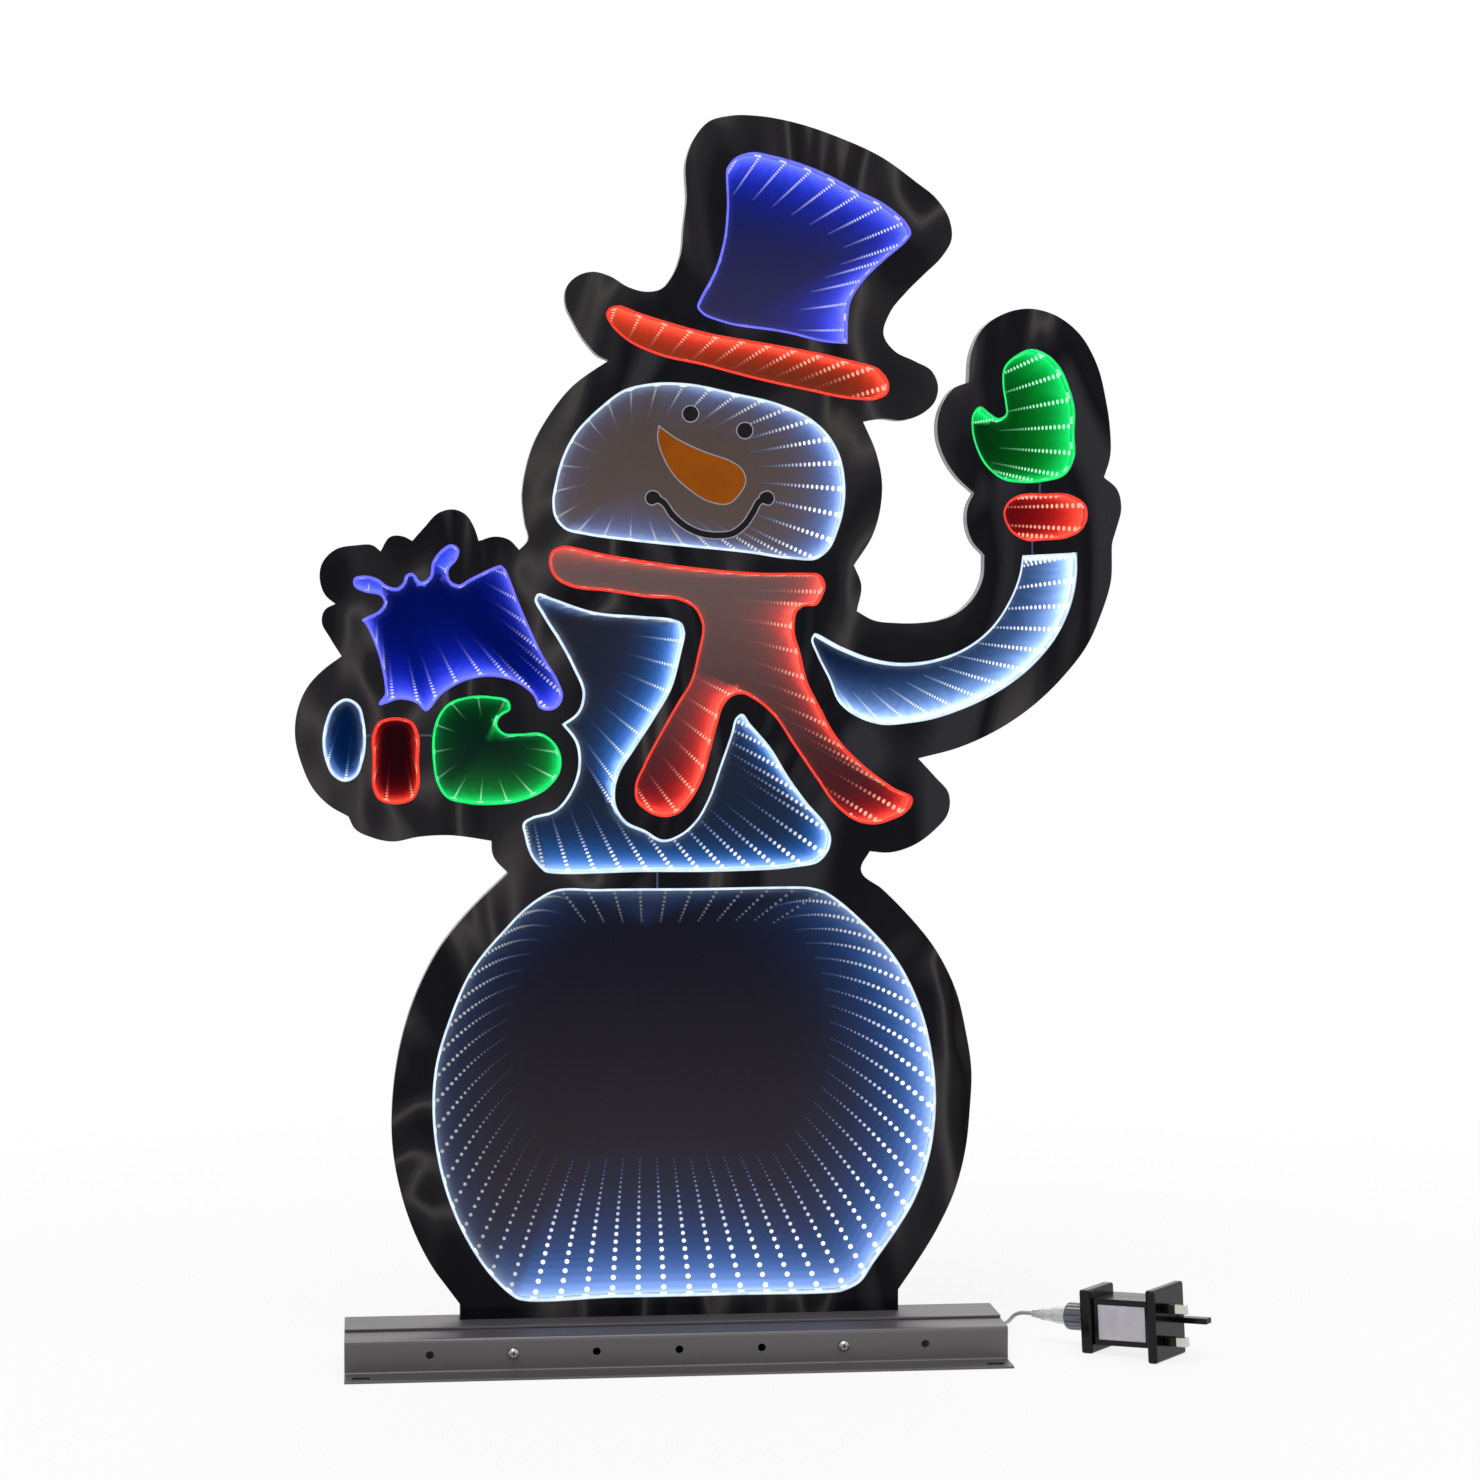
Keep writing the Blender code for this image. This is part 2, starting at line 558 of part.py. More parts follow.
def cut(obj, cutter):
    """Takes a hidden cutter's shape out of an object."""
    cutter.hide_render = True
    cutter.display_type = "WIRE"
    removal = obj.modifiers.new("cut " + cutter.name, "BOOLEAN")
    removal.operation = "DIFFERENCE"
    removal.solver = "EXACT"
    removal.object = cutter


def rod_along_y(name, x, z, radius, front, back, parent, material, sides=16):
    """A straight rod along Y."""
    ring = [Vector((x + radius * math.cos(2 * math.pi * k / sides),
                    z + radius * math.sin(2 * math.pi * k / sides))) for k in range(sides)]
    return plate(name, [ring], front, back, parent, material)


def wall_crossing(loops, place, way):
    """Where a line through a wall meets the windows on its two sides."""
    reach = 40.0
    ends = []
    for sign in (-1, 1):
        far = place + way * reach * sign
        hits = []
        for loop in loops:
            for i in range(len(loop)):
                hit = intersect_line_line_2d(place, far, loop[i - 1], loop[i])
                if hit:
                    hits.append((hit - place).length)
        ends.append(place + way * sign * min(hits))
    return ends


def build_panel(root, outline, windows):
    """The two mirror sheets, the routed core between them and what is cut through all three."""
    black = finish("smoked mirror", (0.012, 0.012, 0.015), 0.06)
    grey = finish("pale core board", (0.42, 0.42, 0.43), 0.6)
    silver = finish("rear mirror", (0.12, 0.12, 0.13), 0.3)
    gap = CLEARANCE / 2
    front = plate("front_mirror", [outline], PANEL_FRONT, CORE_FRONT - gap, root, black)
    core = plate("spacer_core", [outline] + list(windows.values()), CORE_FRONT + gap, CORE_BACK - gap, root,
                 grey)
    rear = plate("rear_mirror", [outline], CORE_BACK + gap, PANEL_BACK, root, silver)
    for side in (-1, 1):
        hole = rod_along_y(f"clamp hole {side}", side * CLAMP_X, HOLE_HEIGHT, SCREW_DIAMETER / 2 + CLEARANCE,
                           PANEL_FRONT - CUT_OVERRUN, PANEL_BACK + CUT_OVERRUN, root, black)
        for sheet in (front, core, rear):
            cut(sheet, hole)
    feed_hole = rod_along_y("feed hole", GLAND_X, HOLE_HEIGHT, FEED_HOLE_DIAMETER / 2,
                            CORE_BACK - CUT_OVERRUN, PANEL_BACK + CUT_OVERRUN, root, black)
    cut(rear, feed_hole)
    return core


def build_strips(root, windows):
    """One flexible light strip lining each window."""
    colours = {
        "hat": (0.05, 0.08, 1.0), "gift": (0.05, 0.08, 1.0),
        "brim": (1.0, 0.04, 0.03), "scarf": (1.0, 0.04, 0.03),
        "right_cuff": (1.0, 0.04, 0.03), "left_cuff": (1.0, 0.04, 0.03),
        "right_mitten": (0.0, 0.75, 0.15), "left_mitten": (0.0, 0.75, 0.15),
    }
    for name, loop in windows.items():
        colour = colours.get(name, (0.75, 0.86, 1.0))
        outer = inset(loop, CLEARANCE)
        inner = inset(loop, CLEARANCE + STRIP_THICKNESS)
        plate("led_strip_" + name, [outer, inner], CORE_MIDDLE - STRIP_WIDTH / 2,
              CORE_MIDDLE + STRIP_WIDTH / 2, root, finish("strip " + str(colour), colour, 0.4))


def build_wiring(root, core, outline, windows):
    """Grooves in the front of the core, the jumper wires in them and the feed down to the gland."""
    wire = finish("white wire", (0.8, 0.8, 0.78), 0.4)
    loops = list(windows.values())
    wire_y = CORE_FRONT + CLEARANCE / 2 + GROOVE_DEPTH / 2
    overrun = 1.0
    for name, (place, way) in JUMPERS.items():
        way = Vector(way)
        start, end = wall_crossing(loops, Vector(on_panel([place])[0]), way)
        across = Vector((way.y, way.x)) * GROOVE_WIDTH / 2
        low = start - way * overrun - across
        high = end + way * overrun + across
        groove = block(name + " groove", (low.x, CORE_FRONT - 1, low.y),
                       (high.x, CORE_FRONT + GROOVE_DEPTH, high.y), root, wire)
        cut(core, groove)
        route = [Vector((p.x, wire_y, p.y)) for p in (start, (start + end) / 2, end)]
        polyline_tube(name, route, JUMPER_DIAMETER / 2, root, wire, 1)

    below = Vector((GLAND_X, FRONT_TOP_HEIGHT))
    top = wall_crossing(loops + [outline], below, Vector((0, 1)))[1]
    half = FEED_GROOVE_WIDTH / 2
    groove = block("feed groove", (GLAND_X - half, CORE_MIDDLE - half, HOLE_HEIGHT - half),
                   (GLAND_X + half, CORE_BACK + 1, top.y + overrun), root, wire)
    cut(core, groove)
    bend = FEED_BEND
    feed_end = REAR_FACE - SHEET - CLEARANCE
    route = [
        (GLAND_X, CORE_MIDDLE, top.y - CLEARANCE), (GLAND_X, CORE_MIDDLE, HOLE_HEIGHT + bend + 2),
        (GLAND_X, CORE_MIDDLE, HOLE_HEIGHT + bend), (GLAND_X, CORE_MIDDLE + bend / 3, HOLE_HEIGHT + bend / 3),
        (GLAND_X, CORE_MIDDLE + bend, HOLE_HEIGHT), (GLAND_X, CORE_MIDDLE + bend + 2, HOLE_HEIGHT),
        (GLAND_X, feed_end, HOLE_HEIGHT),
    ]
    tube("feed_wire", route, FEED_DIAMETER / 2, root, wire, 5.0, 1)


def mouth_loop():
    """The outline of a smile: a stroke along its curve with a round dot at each end."""
    places = [Vector(p) for p in on_panel(MOUTH)]
    slopes = [places[1] - places[0]]
    slopes += [unit_slope(*three) for three in zip(places, places[1:], places[2:])]
    slopes.append(places[-1] - places[-2])
    slopes = [slope.normalized() for slope in slopes]
    parts = 2
    line = []
    for step in range((len(places) - 1) * parts + 1):
        i = min(step // parts, len(places) - 2)
        t = step / parts - i
        length = (places[i + 1] - places[i]).length
        here = hermite(places[i], places[i + 1], slopes[i] * length, slopes[i + 1] * length, t)
        line.append((here, slopes[i].lerp(slopes[i + 1], t).normalized()))
    end_radius = MOUTH_END_RADIUS
    upper = []
    lower = []
    for here, way in line:
        from_end = min((here - line[0][0]).length, (here - line[-1][0]).length)
        half = max(MOUTH_HALF_WIDTH, math.sqrt(max(0.0, end_radius ** 2 - from_end ** 2)))
        side = Vector((-way.y, way.x)) * half
        upper.append(here + side)
        lower.append(here - side)
    caps = []
    for here, way in (line[-1], (line[0][0], -line[0][1])):
        across = Vector((way.y, -way.x))
        turns = [math.pi * k / 6 for k in range(1, 6)]
        caps.append([here + (across * math.cos(a) + way * math.sin(a)) * end_radius for a in turns])
    return lower + caps[0] + upper[::-1] + caps[1]


def build_trim(root):
    """The face, cut from thin sheet and set on the front mirror."""
    black = finish("black trim", (0.01, 0.01, 0.01), 0.4)
    orange = finish("orange trim", (0.6, 0.21, 0.0), 0.4)
    back = PANEL_FRONT - CLEARANCE
    front = back - TRIM_THICKNESS
    for name, place in EYES.items():
        x, z = on_panel([place])[0]
        rod_along_y(name, x, z, EYE_RADIUS, front, back, root, black, EYE_SIDES)
    plate("nose", [smooth_loop(on_panel(NOSE), TRIM_STEP)], front, back, root, orange)
    plate("mouth", [mouth_loop()], front, back, root, black)


def build_base(root):
    """The folded front and rear rails, with their holes, slots and clamp screws."""
    metal = finish("satin aluminium", (0.36, 0.35, 0.36), 0.35, 1.0)
    steel = finish("zinc steel", (0.55, 0.55, 0.55), 0.3, 1.0)
    half = SHEET / 2
    end = BASE_END
    front_path = [
        (FLANGE_FRONT, half), (FACE_FRONT + half, half), (FACE_FRONT + half, FRONT_TOP_HEIGHT - half),
        (STEP_FRONT + STEP_OVERLAP, FRONT_TOP_HEIGHT - half),
    ]
    rear_path = [
        (STEP_FRONT, REAR_TOP_HEIGHT - half), (REAR_FACE - half, REAR_TOP_HEIGHT - half),
        (REAR_FACE - half, half), (FLANGE_BACK, half),
    ]
    front = swept("base_front_rail", folded(front_path, BEND_RADIUS), -end, end, root, metal)
    rear = swept("base_rear_rail", folded(rear_path, BEND_RADIUS), -end, end, root, metal)
    for k in range(HOLE_COUNT):
        x = (k - (HOLE_COUNT - 1) / 2) * HOLE_PITCH
        hole = rod_along_y(f"face hole {k}", x, HOLE_HEIGHT, HOLE_DIAMETER / 2, FACE_FRONT - CUT_OVERRUN,
                           FACE_FRONT + SHEET + CUT_OVERRUN, root, metal)
        cut(front, hole)
    for rail, edge in ((front, FLANGE_FRONT + PEG_SLOT_FROM_EDGE), (rear, FLANGE_BACK - PEG_SLOT_FROM_EDGE)):
        for side in (-1, 1):
            x = side * (end - SLOT_FROM_END)
            slot = block(f"peg slot {side} {edge}",
                         (x - SLOT_LENGTH / 2, edge - SLOT_WIDTH / 2, -CUT_OVERRUN),
                         (x + SLOT_LENGTH / 2, edge + SLOT_WIDTH / 2, SHEET + CUT_OVERRUN), root, metal)
            cut(rail, slot)
    left, right = (on_panel(OUTLINE)[k][0] for k in (0, -1))
    panel_slot = block("panel slot",
                       (left - CLEARANCE, PANEL_FRONT - CLEARANCE, FRONT_TOP_HEIGHT - CUT_OVERRUN),
                       (right + CLEARANCE, PANEL_BACK + CLEARANCE, REAR_TOP_HEIGHT + CUT_OVERRUN), root,
                       metal)
    cut(rear, panel_slot)
    gland_hole = rod_along_y("gland hole", GLAND_X, HOLE_HEIGHT, GLAND_BODY_DIAMETER / 2 + CLEARANCE,
                             REAR_FACE - SHEET - CUT_OVERRUN, REAR_FACE + CUT_OVERRUN, root, metal)
    cut(rear, gland_hole)
    for side, word in ((-1, "left"), (1, "right")):
        x = side * CLAMP_X
        hole = rod_along_y(f"rear hole {word}", x, HOLE_HEIGHT, SCREW_DIAMETER / 2 + CLEARANCE,
                           REAR_FACE - SHEET - CUT_OVERRUN, REAR_FACE + CUT_OVERRUN, root, metal)
        cut(rear, hole)
        build_clamp(root, word, x, steel)


def build_clamp(root, word, x, steel):
    """One long clamp screw and its nut behind the rear rail."""
    seat = bpy.data.objects.new(f"clamp seat {word}", None)
    bpy.context.scene.collection.objects.link(seat)
    seat.parent = root
    seat.location = Vector((x, FACE_FRONT - CLEARANCE, HOLE_HEIGHT)) * MM
    seat.rotation_euler = (0, 0, math.pi / 2)
    head = SCREW_HEAD_DIAMETER / 2
    shank = SCREW_DIAMETER / 2
    nut_start = REAR_FACE + CLEARANCE - (FACE_FRONT - CLEARANCE)
    length = nut_start + NUT_HEIGHT + SCREW_END
    profile = [(-SCREW_HEAD_HEIGHT, 0), (-SCREW_HEAD_HEIGHT, head * SCREW_CROWN_SHARE),
               (-SCREW_HEAD_HEIGHT * SCREW_CROWN_SHARE, head * SCREW_SHOULDER_SHARE),
               (0, head), (0, shank), (length, shank), (length, 0)]
    turned(f"clamp_screw_{word}", profile, seat, steel, 16)
    inside = shank + CLEARANCE
    outside = NUT_ACROSS / math.sqrt(3)
    nut = [(nut_start, inside), (nut_start, outside), (nut_start + NUT_HEIGHT, outside),
           (nut_start + NUT_HEIGHT, inside)]
    turned(f"clamp_nut_{word}", nut, seat, steel, 6)


def coil_place(turns):
    """The middle of the cord after a number of turns: it spirals in and out and climbs where it reverses."""
    layer = min(int(turns / COIL_TURNS_PER_LAYER), COIL_LAYERS - 1)
    into = turns - layer * COIL_TURNS_PER_LAYER
    drawn = into if layer % 2 == 0 else COIL_TURNS_PER_LAYER - into
    radius = COIL_OUTER_RADIUS - COIL_PITCH * drawn
    starts = [k * COIL_TURNS_PER_LAYER for k in range(1, COIL_LAYERS)]
    level = sum(min(1.0, max(0.0, (turns - start) / CLIMB_TURNS + 0.5)) for start in starts)
    angle = 2 * math.pi * turns
    return Vector((COIL_CENTRE[0] + radius * math.cos(angle), COIL_CENTRE[1] + radius * math.sin(angle),
                   COIL_HEIGHT + COIL_PITCH * level))


def least_gap(line):
    """The smallest gap between stretches of the coil that lie more than half a turn apart."""
    apart = COIL_POINTS_PER_TURN // 2
    least = min((a - b).length for i, a in enumerate(line) for b in line[i + apart:])
    return least - CORD_DIAMETER


def build_lead(root, adapter):
    """The gland, the cord to the coil, the coil with its tie, and the cord on to the connector."""
    clear = finish("clear cord", (0.7, 0.7, 0.68), 0.25)
    dark = finish("black gland", (0.02, 0.02, 0.02), 0.45)
    seat = bpy.data.objects.new("gland seat", None)
    bpy.context.scene.collection.objects.link(seat)
    seat.parent = root
    seat.location = Vector((GLAND_X, REAR_FACE, HOLE_HEIGHT)) * MM
    seat.rotation_euler = (0, 0, math.pi / 2)
    body = GLAND_BODY_DIAMETER / 2
    head = GLAND_HEAD_DIAMETER / 2
    head_end = CLEARANCE + GLAND_HEAD_LENGTH
    tail = CORD_RADIUS + GLAND_TAIL_WALL
    profile = [(-SHEET, 0), (-SHEET, body), (CLEARANCE, body), (CLEARANCE, head),
               (head_end, head * GLAND_TAPER), (head_end, body * GLAND_TAPER),
               (head_end + GLAND_TAIL_LENGTH, tail), (head_end + GLAND_TAIL_LENGTH, 0)]
    turned("cable_gland", profile, seat, dark, 16)

    count = COIL_TURNS_PER_LAYER * COIL_LAYERS
    line = [coil_place(k / COIL_POINTS_PER_TURN) for k in range(count * COIL_POINTS_PER_TURN + 1)]
    print("least gap between coil turns, mm:", round(least_gap(line), 3))
    way_in = Vector((0, CORD_DIAMETER, 0))
    coil = [line[0] - way_in] + line + [line[-1] + way_in]
    polyline_tube("cord_coil", coil, CORD_RADIUS, root, clear, 1)
    joint = Vector((0, CLEARANCE, 0))
    tube("cord_run", RUN_ROUTE + [coil[0] - joint - way_in, coil[0] - joint], CORD_RADIUS, root, clear, 7.0)

    last = place_on_axis(adapter, RELIEF_END - CLEARANCE)
    before = place_on_axis(adapter, RELIEF_END - CLEARANCE - 2 * CORD_DIAMETER)
    lead = [coil[-1] + joint, coil[-1] + joint + way_in] + LEAD_ROUTE + [before, last]
    tube("cord_lead", lead, CORD_RADIUS, root, clear, 8.0)
    build_tie(root)


def place_on_axis(adapter, along):
    """A point on the adapter's axis, in the root's millimetres."""
    return adapter.location / MM + adapter.rotation_euler.to_matrix() @ Vector((along, 0, 0))


def build_tie(root):
    """A flat strap round the coil's bundle, half a turn away from its ends."""
    near = COIL_INNER_RADIUS + COIL_PITCH / 2 - CORD_RADIUS - TIE_SLACK
    far = COIL_OUTER_RADIUS - COIL_PITCH / 2 + CORD_RADIUS + TIE_SLACK
    low = COIL_HEIGHT - CORD_RADIUS - CLEARANCE
    high = COIL_HEIGHT + COIL_PITCH * (COIL_LAYERS - 1) + CORD_RADIUS + CLEARANCE
    t = TIE_THICKNESS
    x = COIL_CENTRE[0]
    inner = [Vector((x - far, low)), Vector((x - near, low)), Vector((x - near, high)),
             Vector((x - far, high))]
    outer = [Vector((x - far - t, low - t)), Vector((x - near + t, low - t)),
             Vector((x - near + t, high + t)), Vector((x - far - t, high + t))]
    y = COIL_CENTRE[1]
    plate("coil_tie", [outer, inner], y - TIE_WIDTH / 2, y + TIE_WIDTH / 2, root,
          finish("white tie", (0.75, 0.75, 0.73), 0.5))


def build_connector(seat):
    """The clear connector, its ribbed strain relief, the sealing ring and the collar nut."""
    clear = finish("clear moulding", (0.75, 0.76, 0.76), 0.15)
    grey = finish("grey collar", (0.2, 0.21, 0.24), 0.45)
    rubber = finish("seal rubber", (0.02, 0.02, 0.02), 0.7)
    bore = COLLAR_BORE / 2
    flange = bore - CLEARANCE
    flange_end = FLANGE_START - CONNECTOR_FLANGE_LENGTH
    neck = CONNECTOR_DIAMETER / 2
    tail = CONNECTOR_TAIL_DIAMETER / 2
    nose = NOSE_DIAMETER / 2
    profile = [(FLANGE_START + NOSE_LENGTH, 0), (FLANGE_START + NOSE_LENGTH, nose), (FLANGE_START, nose),
               (FLANGE_START, flange), (flange_end, flange), (flange_end, neck),
               (COLLAR_BACK - CONNECTOR_LENGTH * CONNECTOR_NECK_SHARE, neck),
               (COLLAR_BACK - CONNECTOR_LENGTH * CONNECTOR_TAPER_SHARE, tail * CONNECTOR_TAIL_SWELL),
               (CONNECTOR_END, tail), (CONNECTOR_END, 0)]
    turned("connector_body", profile, seat, clear)

    start = CONNECTOR_END - CLEARANCE
    outer = RELIEF_DIAMETER / 2
    pitch = (start - RELIEF_END) / RELIEF_RIBS
    profile = [(start, 0)]
    for k in range(RELIEF_RIBS):
        ring = outer - k * RELIEF_TAPER
        edge = start - k * pitch
        profile += [(edge, ring), (edge - pitch / 2, ring), (edge - pitch / 2, ring - RELIEF_GROOVE),
                    (edge - pitch, ring - RELIEF_GROOVE)]
    profile.append((start - RELIEF_RIBS * pitch, 0))
    turned("strain_relief", profile, seat, clear, 12)

    ring_start = -SPIGOT_LENGTH - CLEARANCE
    inner = nose + CLEARANCE
    thick = SPIGOT_DIAMETER / 2 - SEAL_INSET
    profile = [(ring_start, inner), (ring_start, thick), (ring_start - SEAL_SECTION, thick),
               (ring_start - SEAL_SECTION, inner)]
    turned("sealing_ring", profile, seat, rubber)

    rim = COLLAR_DIAMETER / 2
    lip = neck + CLEARANCE
    lip_end = flange_end - CLEARANCE
    front = -COLLAR_STANDOFF
    profile = [(front, bore), (front, rim - COLLAR_RIB_DEPTH), (front - COLLAR_CHAMFER, rim),
               (COLLAR_BACK + COLLAR_CHAMFER, rim),
               (COLLAR_BACK, rim - COLLAR_RIB_DEPTH), (COLLAR_BACK, lip), (lip_end, lip),
               (lip_end, bore)]
    turned("collar_nut", profile, seat, grey, COLLAR_RIBS * 2, ribs=(2, 3))


def build_adapter(seat):
    """The plug-in adapter: spigot, end plate, two case shells, board, pin plate, pins and a bare label."""
    black = finish("gloss black plastic", (0.01, 0.01, 0.011), 0.2)
    brass = finish("nickel pin", (0.65, 0.62, 0.55), 0.25, 1.0)
    silver = finish("silver label", (0.5, 0.48, 0.5), 0.4)
    green = finish("circuit board", (0.02, 0.2, 0.06), 0.5)
    core = finish("transformer core", (0.5, 0.38, 0.1), 0.5)
    radius = SPIGOT_DIAMETER / 2
    bore = SPIGOT_BORE / 2
    root_end = -CLEARANCE
    profile = [(root_end, 0), (root_end, radius), (-SPIGOT_LENGTH, radius), (-SPIGOT_LENGTH, bore),
               (-SPIGOT_LENGTH + SPIGOT_BORE_DEPTH, bore), (-SPIGOT_LENGTH + SPIGOT_BORE_DEPTH, 0)]
    turned("adapter_spigot", profile, seat, black)

    for name, size, start in (("end_plate", END_PLATE, 0.0), ("pin_plate", PIN_PLATE, PLATE_START)):
        block(name, (start, -size[1] / 2, -size[2] / 2), (start + size[0], size[1] / 2, size[2] / 2), seat,
              black, CORNER_RADIUS)

    end = CASE_START + CASE[0]
    deep = CASE[1] / 2
    tall = CASE[2] / 2
    for name, side in (("case_front", -1), ("case_rear", 1)):
        inner = side * CLEARANCE / 2
        outer = side * deep
        shell = block(name, (CASE_START, min(inner, outer), -tall), (end, max(inner, outer), tall), seat,
                      black)
        hollow = side * (deep - CASE_WALL)
        inside = block(name + " hollow", (CASE_START + CASE_WALL, min(-side, hollow), -tall + CASE_WALL),
                       (end - CASE_WALL, max(-side, hollow), tall - CASE_WALL), seat, black)
        cut(shell, inside)

    middle = CASE_START + CASE[0] / 2
    board_y = BOARD_SEAT
    block("circuit_board", (middle - BOARD[0] / 2, board_y, -BOARD[2] / 2),
          (middle + BOARD[0] / 2, board_y + BOARD[1], BOARD[2] / 2), seat, green)
    core_back = board_y - CLEARANCE
    block("transformer", (middle - TRANSFORMER[0] / 2, core_back - TRANSFORMER[1], -TRANSFORMER[2] / 2),
          (middle + TRANSFORMER[0] / 2, core_back, TRANSFORMER[2] / 2), seat, core, TRANSFORMER_EDGE)
    label_back = -deep - CLEARANCE
    block("blank_label", (middle - LABEL_SIZE[0] / 2, label_back - TRIM_THICKNESS, -LABEL_SIZE[1] / 2),
          (middle + LABEL_SIZE[0] / 2, label_back, LABEL_SIZE[1] / 2), seat, silver)

    pins_y = -EARTH_OFFSET / 2 + PIN_ROW_SHIFT
    earth_y = pins_y + EARTH_OFFSET
    face = PLUG_FACE + CLEARANCE
    for name, z in (("pin_live", -PIN_SPREAD / 2), ("pin_neutral", PIN_SPREAD / 2)):
        length, wide, deep_pin = POWER_PIN
        block(name, (face, pins_y - deep_pin / 2, z - wide / 2),
              (face + length, pins_y + deep_pin / 2, z + wide / 2), seat, brass, PIN_EDGE)
    length, wide, deep_pin = EARTH_PIN
    block("earth_pin", (face, earth_y - deep_pin / 2, -wide / 2),
          (face + length, earth_y + deep_pin / 2, wide / 2), seat, black, PIN_EDGE)


def main():
    """Clears the scene and builds every piece."""
    for obj in list(bpy.data.objects):
        bpy.data.objects.remove(obj)
    edge = on_panel(OUTLINE)
    foot = [(edge[-1][0], TAB_BOTTOM, SHARP), (edge[0][0], TAB_BOTTOM, SHARP)]
    outline = smooth_loop(edge + foot, OUTLINE_STEP)
    windows = {name: smooth_loop(on_panel(points), WINDOW_STEP) for name, points in WINDOWS.items()}
    middle = (min(p.x for p in outline) + max(p.x for p in outline)) / 2

    root = bpy.data.objects.new("snowman", None)
    bpy.context.scene.collection.objects.link(root)
    root.location = (-middle * MM, 0, 0)
    adapter = bpy.data.objects.new("adapter seat", None)
    bpy.context.scene.collection.objects.link(adapter)
    adapter.parent = root
    adapter.location = Vector((BASE_END + ADAPTER_FROM_BASE, ADAPTER_SEAT_Y, ADAPTER_HEIGHT)) * MM
    adapter.rotation_euler = (0, -ADAPTER_TILT, ADAPTER_TURN)
    print("whole object moved along X by, mm:", round(-middle, 4))

    core = build_panel(root, outline, windows)
    build_strips(root, windows)
    build_wiring(root, core, outline, windows)
    build_trim(root)
    build_base(root)
    build_lead(root, adapter)
    build_connector(adapter)
    build_adapter(adapter)


main()
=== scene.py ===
"""Looks of the light-up snowman panel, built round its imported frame.

Lengths are metres unless a name says mm.
"""
import json
import math

import bmesh
import bpy
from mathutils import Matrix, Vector
from mathutils.geometry import delaunay_2d_cdt


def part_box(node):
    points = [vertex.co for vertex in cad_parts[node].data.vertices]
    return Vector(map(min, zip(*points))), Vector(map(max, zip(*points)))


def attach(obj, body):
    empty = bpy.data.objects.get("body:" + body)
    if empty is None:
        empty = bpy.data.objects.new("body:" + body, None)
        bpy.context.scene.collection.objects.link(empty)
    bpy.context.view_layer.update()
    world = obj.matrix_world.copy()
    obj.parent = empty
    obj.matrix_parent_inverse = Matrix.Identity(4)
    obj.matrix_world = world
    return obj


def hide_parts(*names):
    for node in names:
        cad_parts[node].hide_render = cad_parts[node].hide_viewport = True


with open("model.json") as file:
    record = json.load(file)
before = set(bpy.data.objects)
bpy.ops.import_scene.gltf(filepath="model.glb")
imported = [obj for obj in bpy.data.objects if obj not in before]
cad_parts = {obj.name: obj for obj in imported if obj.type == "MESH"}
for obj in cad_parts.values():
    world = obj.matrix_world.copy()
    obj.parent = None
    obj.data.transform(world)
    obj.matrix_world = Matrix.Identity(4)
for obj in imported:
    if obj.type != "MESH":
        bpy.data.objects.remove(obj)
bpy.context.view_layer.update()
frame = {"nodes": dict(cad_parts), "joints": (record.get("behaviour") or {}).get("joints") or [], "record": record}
NODES = frame["nodes"]

MM = 0.001
SHARP = 1
STAND = "snowman"

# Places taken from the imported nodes, and the joint that the collar turns on
BASE_LOW, BASE_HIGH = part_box("base_front_rail")
BASE_MIDDLE = (BASE_LOW.x + BASE_HIGH.x) / 2
FRONT_LOW, FRONT_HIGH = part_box("front_mirror")
CORE_LOW, CORE_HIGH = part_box("spacer_core")
REAR_LOW, REAR_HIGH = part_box("rear_mirror")
STRIP_LOW, STRIP_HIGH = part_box("led_strip_body")
TRIM_LOW, TRIM_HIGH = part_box("nose")
JUMPERS = [name for name in NODES if name.startswith("jumper_")]
COLLAR_JOINT = next(joint for joint in frame["joints"] if joint["name"] == "collar_turn")
PLUG_AXIS = Vector(COLLAR_JOINT["axis"])

